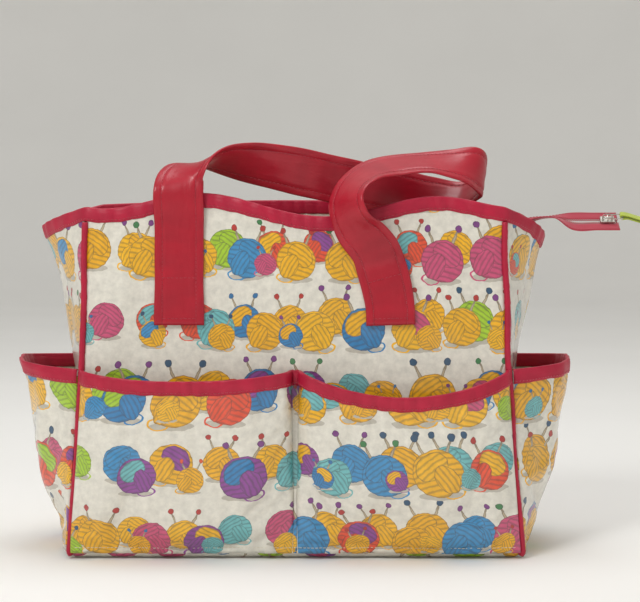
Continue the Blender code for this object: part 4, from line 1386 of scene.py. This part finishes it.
def zip_stations(side):
    """Middle line of half of the zip's tape, from its left end to the tail's tip."""
    out = -1 if side == "front" else 1
    lower = facing_grid(side, 13)[0]
    if side == "back":
        lower = lower[::-1]
    stations = [(tuple(point + np.array((0, -out * 0.0028, -0.0066))), (0, -out * 0.92, 0.38))
                for point in lower[::2]]
    reach = COIL_HALF_GAP + COIL_WIDTH + GAP + ZIP_TAPE_WIDTH / 2
    stations.append(((0.185, out * 0.026, 0.2800), (0.1, -out * 0.70, 0.70)))
    stations.append(((0.212, out * 0.014, 0.2985), (-0.3, -out * 0.30, 0.90)))
    stations.append(((0.236, out * reach, 0.3030), (0, -0.03, 1)))
    for x in (TAIL_START_X, (TAIL_START_X + TAIL_END_X) / 2, TAIL_END_X):
        middle = np.array((x, 0, TAIL_AXIS_Z)) + tail_point(out * reach)
        stations.append((tuple(middle), tuple(tail_point(0, 1))))
    return stations


class KNITTING_BAG_OT_zip(bpy.types.Operator):
    """Zip facings, tapes and coils, running out into the tail"""
    bl_idname = "knitting_bag.zip"
    bl_label = "Zip"

    def execute(self, context):
        for side in ("front", "back"):
            grid = facing_grid(side)
            run = run_length(grid[0])
            uv = np.stack(np.meshgrid(np.linspace(0, 0.037, len(grid)) + 0.21, run, indexing="ij"),
                          axis=-1)[..., ::-1]
            facing = grid_object(f"zip_facing_{side}_cloth", grid, uv)
            thicken(dress(facing, coated_cotton_print, uncoated_cotton_back), LINING, 0.0)
            fit(facing, [f"zip_facing_{side}"])
            self.add_tape(side)
        return {"FINISHED"}

    def add_tape(self, side):
        """Half of the zip: the tape, its coil and the stitches that hold it."""
        points, faces, across = strap_frames(zip_stations(side), 0.002)
        shares = np.array((-1, -0.94, -0.6, -0.2, 0.2, 0.6, 0.94, 1))
        height = 0.0004 * np.sqrt(np.clip(1 - np.clip((np.abs(shares) - 0.9) / 0.1, 0, 1) ** 2, 0.05, 1))
        place = points[:, None] + across[:, None] * (shares * ZIP_TAPE_WIDTH / 2)[None, :, None]
        top = place + faces[:, None] * height[None, :, None]
        low = place - faces[:, None] * height[None, :, None]
        grid = np.concatenate((top[:, ::-1], low), axis=1)
        widths = np.linspace(0, 2 * ZIP_TAPE_WIDTH, grid.shape[1] + 1)
        uv = np.stack(np.meshgrid(run_length(points), widths, indexing="ij"), axis=-1)
        tape = dress(grid_object(f"zip_tape_{side}_ribbon", grid, uv, around=True, caps=True), woven_zip_tape)
        fit(tape, [f"zip_tape_{side}"])
        inner = -1 if side == "front" else 1
        edge = points + inner * across * (ZIP_TAPE_WIDTH / 2 + GAP + COIL_WIDTH / 2)
        edge, out, wide = respaced(edge, sizes().coil_pitch / 8, faces, across)
        turn = run_length(edge) * 2 * math.pi / sizes().coil_pitch
        reach = COIL_WIDTH / 2 - 0.0002
        helix = edge + reach * (np.cos(turn)[:, None] * wide * 1.15 + np.sin(turn)[:, None] * out)
        coil = dress(tube(f"zip_coil_{side}_turns", helix, 0.00036, sides=5), nylon_coil)
        fit(coil, [f"zip_coil_{side}"])
        seam = points - inner * across * (ZIP_TAPE_WIDTH / 2 - 0.0015)
        stitches = stitch_row(f"zip_tape_{side}_stitches", seam + faces * 0.0004, faces, 0.003)
        fit(stitches)


def dress_node(name, build, bevel=0.0):
    """Gives a CAD node its material and, where it is sharp, rounded edges."""
    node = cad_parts[name]
    node.data.materials.clear()
    node.data.materials.append(material(build))
    if bevel:
        weld = node.modifiers.new("joined corners", "WELD")
        weld.merge_threshold = 0.00001
        rounding = node.modifiers.new("rounded edges", "BEVEL")
        rounding.width = bevel
        rounding.segments = 3


class KNITTING_BAG_OT_slider(bpy.types.Operator):
    """Slider, its bridge, the puller's link and ribbon, and the end staple"""
    bl_idname = "knitting_bag.slider"
    bl_label = "Slider and puller"

    def execute(self, context):
        dress_node("slider_body", nickel_plated_zinc, 0.0004)
        dress_node("zip_stop", nickel_plated_zinc, 0.00015)
        dress_node("slider_bridge", nickel_plated_zinc)
        dress_node("puller_link", nickel_plated_zinc)
        low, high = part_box("puller_link")
        pivot = np.array((low.x + 0.0006, (low.y + high.y) / 2, (low.z + high.z) / 2))
        # The ribbon is a loop: out over the link, down to its stitched tip and back.
        out = np.array(((0.0112, 0.0022), (0.0135, 0.0024), (0.0180, 0.0018), (0.0260, -0.0006),
                        (0.0370, -0.0042), (0.0450, -0.0078), (0.0452, -0.0092), (0.0370, -0.0062),
                        (0.0260, -0.0030), (0.0180, -0.0008), (0.0128, -0.0012), (0.0112, 0.0000)))
        run = smooth(np.column_stack((out[:, 0], 0 * out[:, 0], out[:, 1])), np.linspace(0, len(out) - 1, 90))
        shares = np.linspace(-1, 1, 7)
        wide = 0.0034 * shares
        across = tail_point(1.0)
        grid = pivot + run[:, None] + across[None, None] * wide[None, :, None]
        uv = np.stack(np.meshgrid(run_length(run), wide, indexing="ij"), axis=-1)
        ribbon = thicken(dress(grid_object("puller_ribbon_loop", grid, uv), grosgrain_ribbon), 0.0006, 0.0)
        fit(ribbon, ["puller_ribbon"], "zip_puller")
        return {"FINISHED"}


OPERATORS = (
    KNITTING_BAG_OT_stage, KNITTING_BAG_OT_base, KNITTING_BAG_OT_walls, KNITTING_BAG_OT_lining,
    KNITTING_BAG_OT_pockets, KNITTING_BAG_OT_bindings, KNITTING_BAG_OT_piping,
    KNITTING_BAG_OT_front_handle, KNITTING_BAG_OT_back_handle, KNITTING_BAG_OT_zip,
    KNITTING_BAG_OT_slider,
)


class KNITTING_BAG_PT_panel(bpy.types.Panel):
    """Lists the bag's operators, sizes and colours."""
    bl_idname = "KNITTING_BAG_PT_panel"
    bl_label = "Knitting Bag"
    bl_space_type = "VIEW_3D"
    bl_region_type = "UI"
    bl_category = "Knitting Bag"

    def draw(self, context):
        for operator in OPERATORS:
            self.layout.operator(operator.bl_idname)
        for group in (context.scene.bag_sizes, context.scene.bag_colours):
            box = self.layout.box()
            for name in group.__annotations__:
                box.prop(group, name)


CLASSES = (BagSizes, BagColours, *OPERATORS, KNITTING_BAG_PT_panel)


def register():
    """Adds the classes, and the sizes and colours to the scene."""
    for made in CLASSES:
        bpy.utils.register_class(made)
    bpy.types.Scene.bag_sizes = bpy.props.PointerProperty(type=BagSizes)
    bpy.types.Scene.bag_colours = bpy.props.PointerProperty(type=BagColours)


def unregister():
    """Takes them away again."""
    del bpy.types.Scene.bag_sizes
    del bpy.types.Scene.bag_colours
    for made in reversed(CLASSES):
        bpy.utils.unregister_class(made)


def main():
    register()
    for operator in OPERATORS:
        group, action = operator.bl_idname.split(".")
        getattr(getattr(bpy.ops, group), action)()


if __name__ == "__main__":
    main()
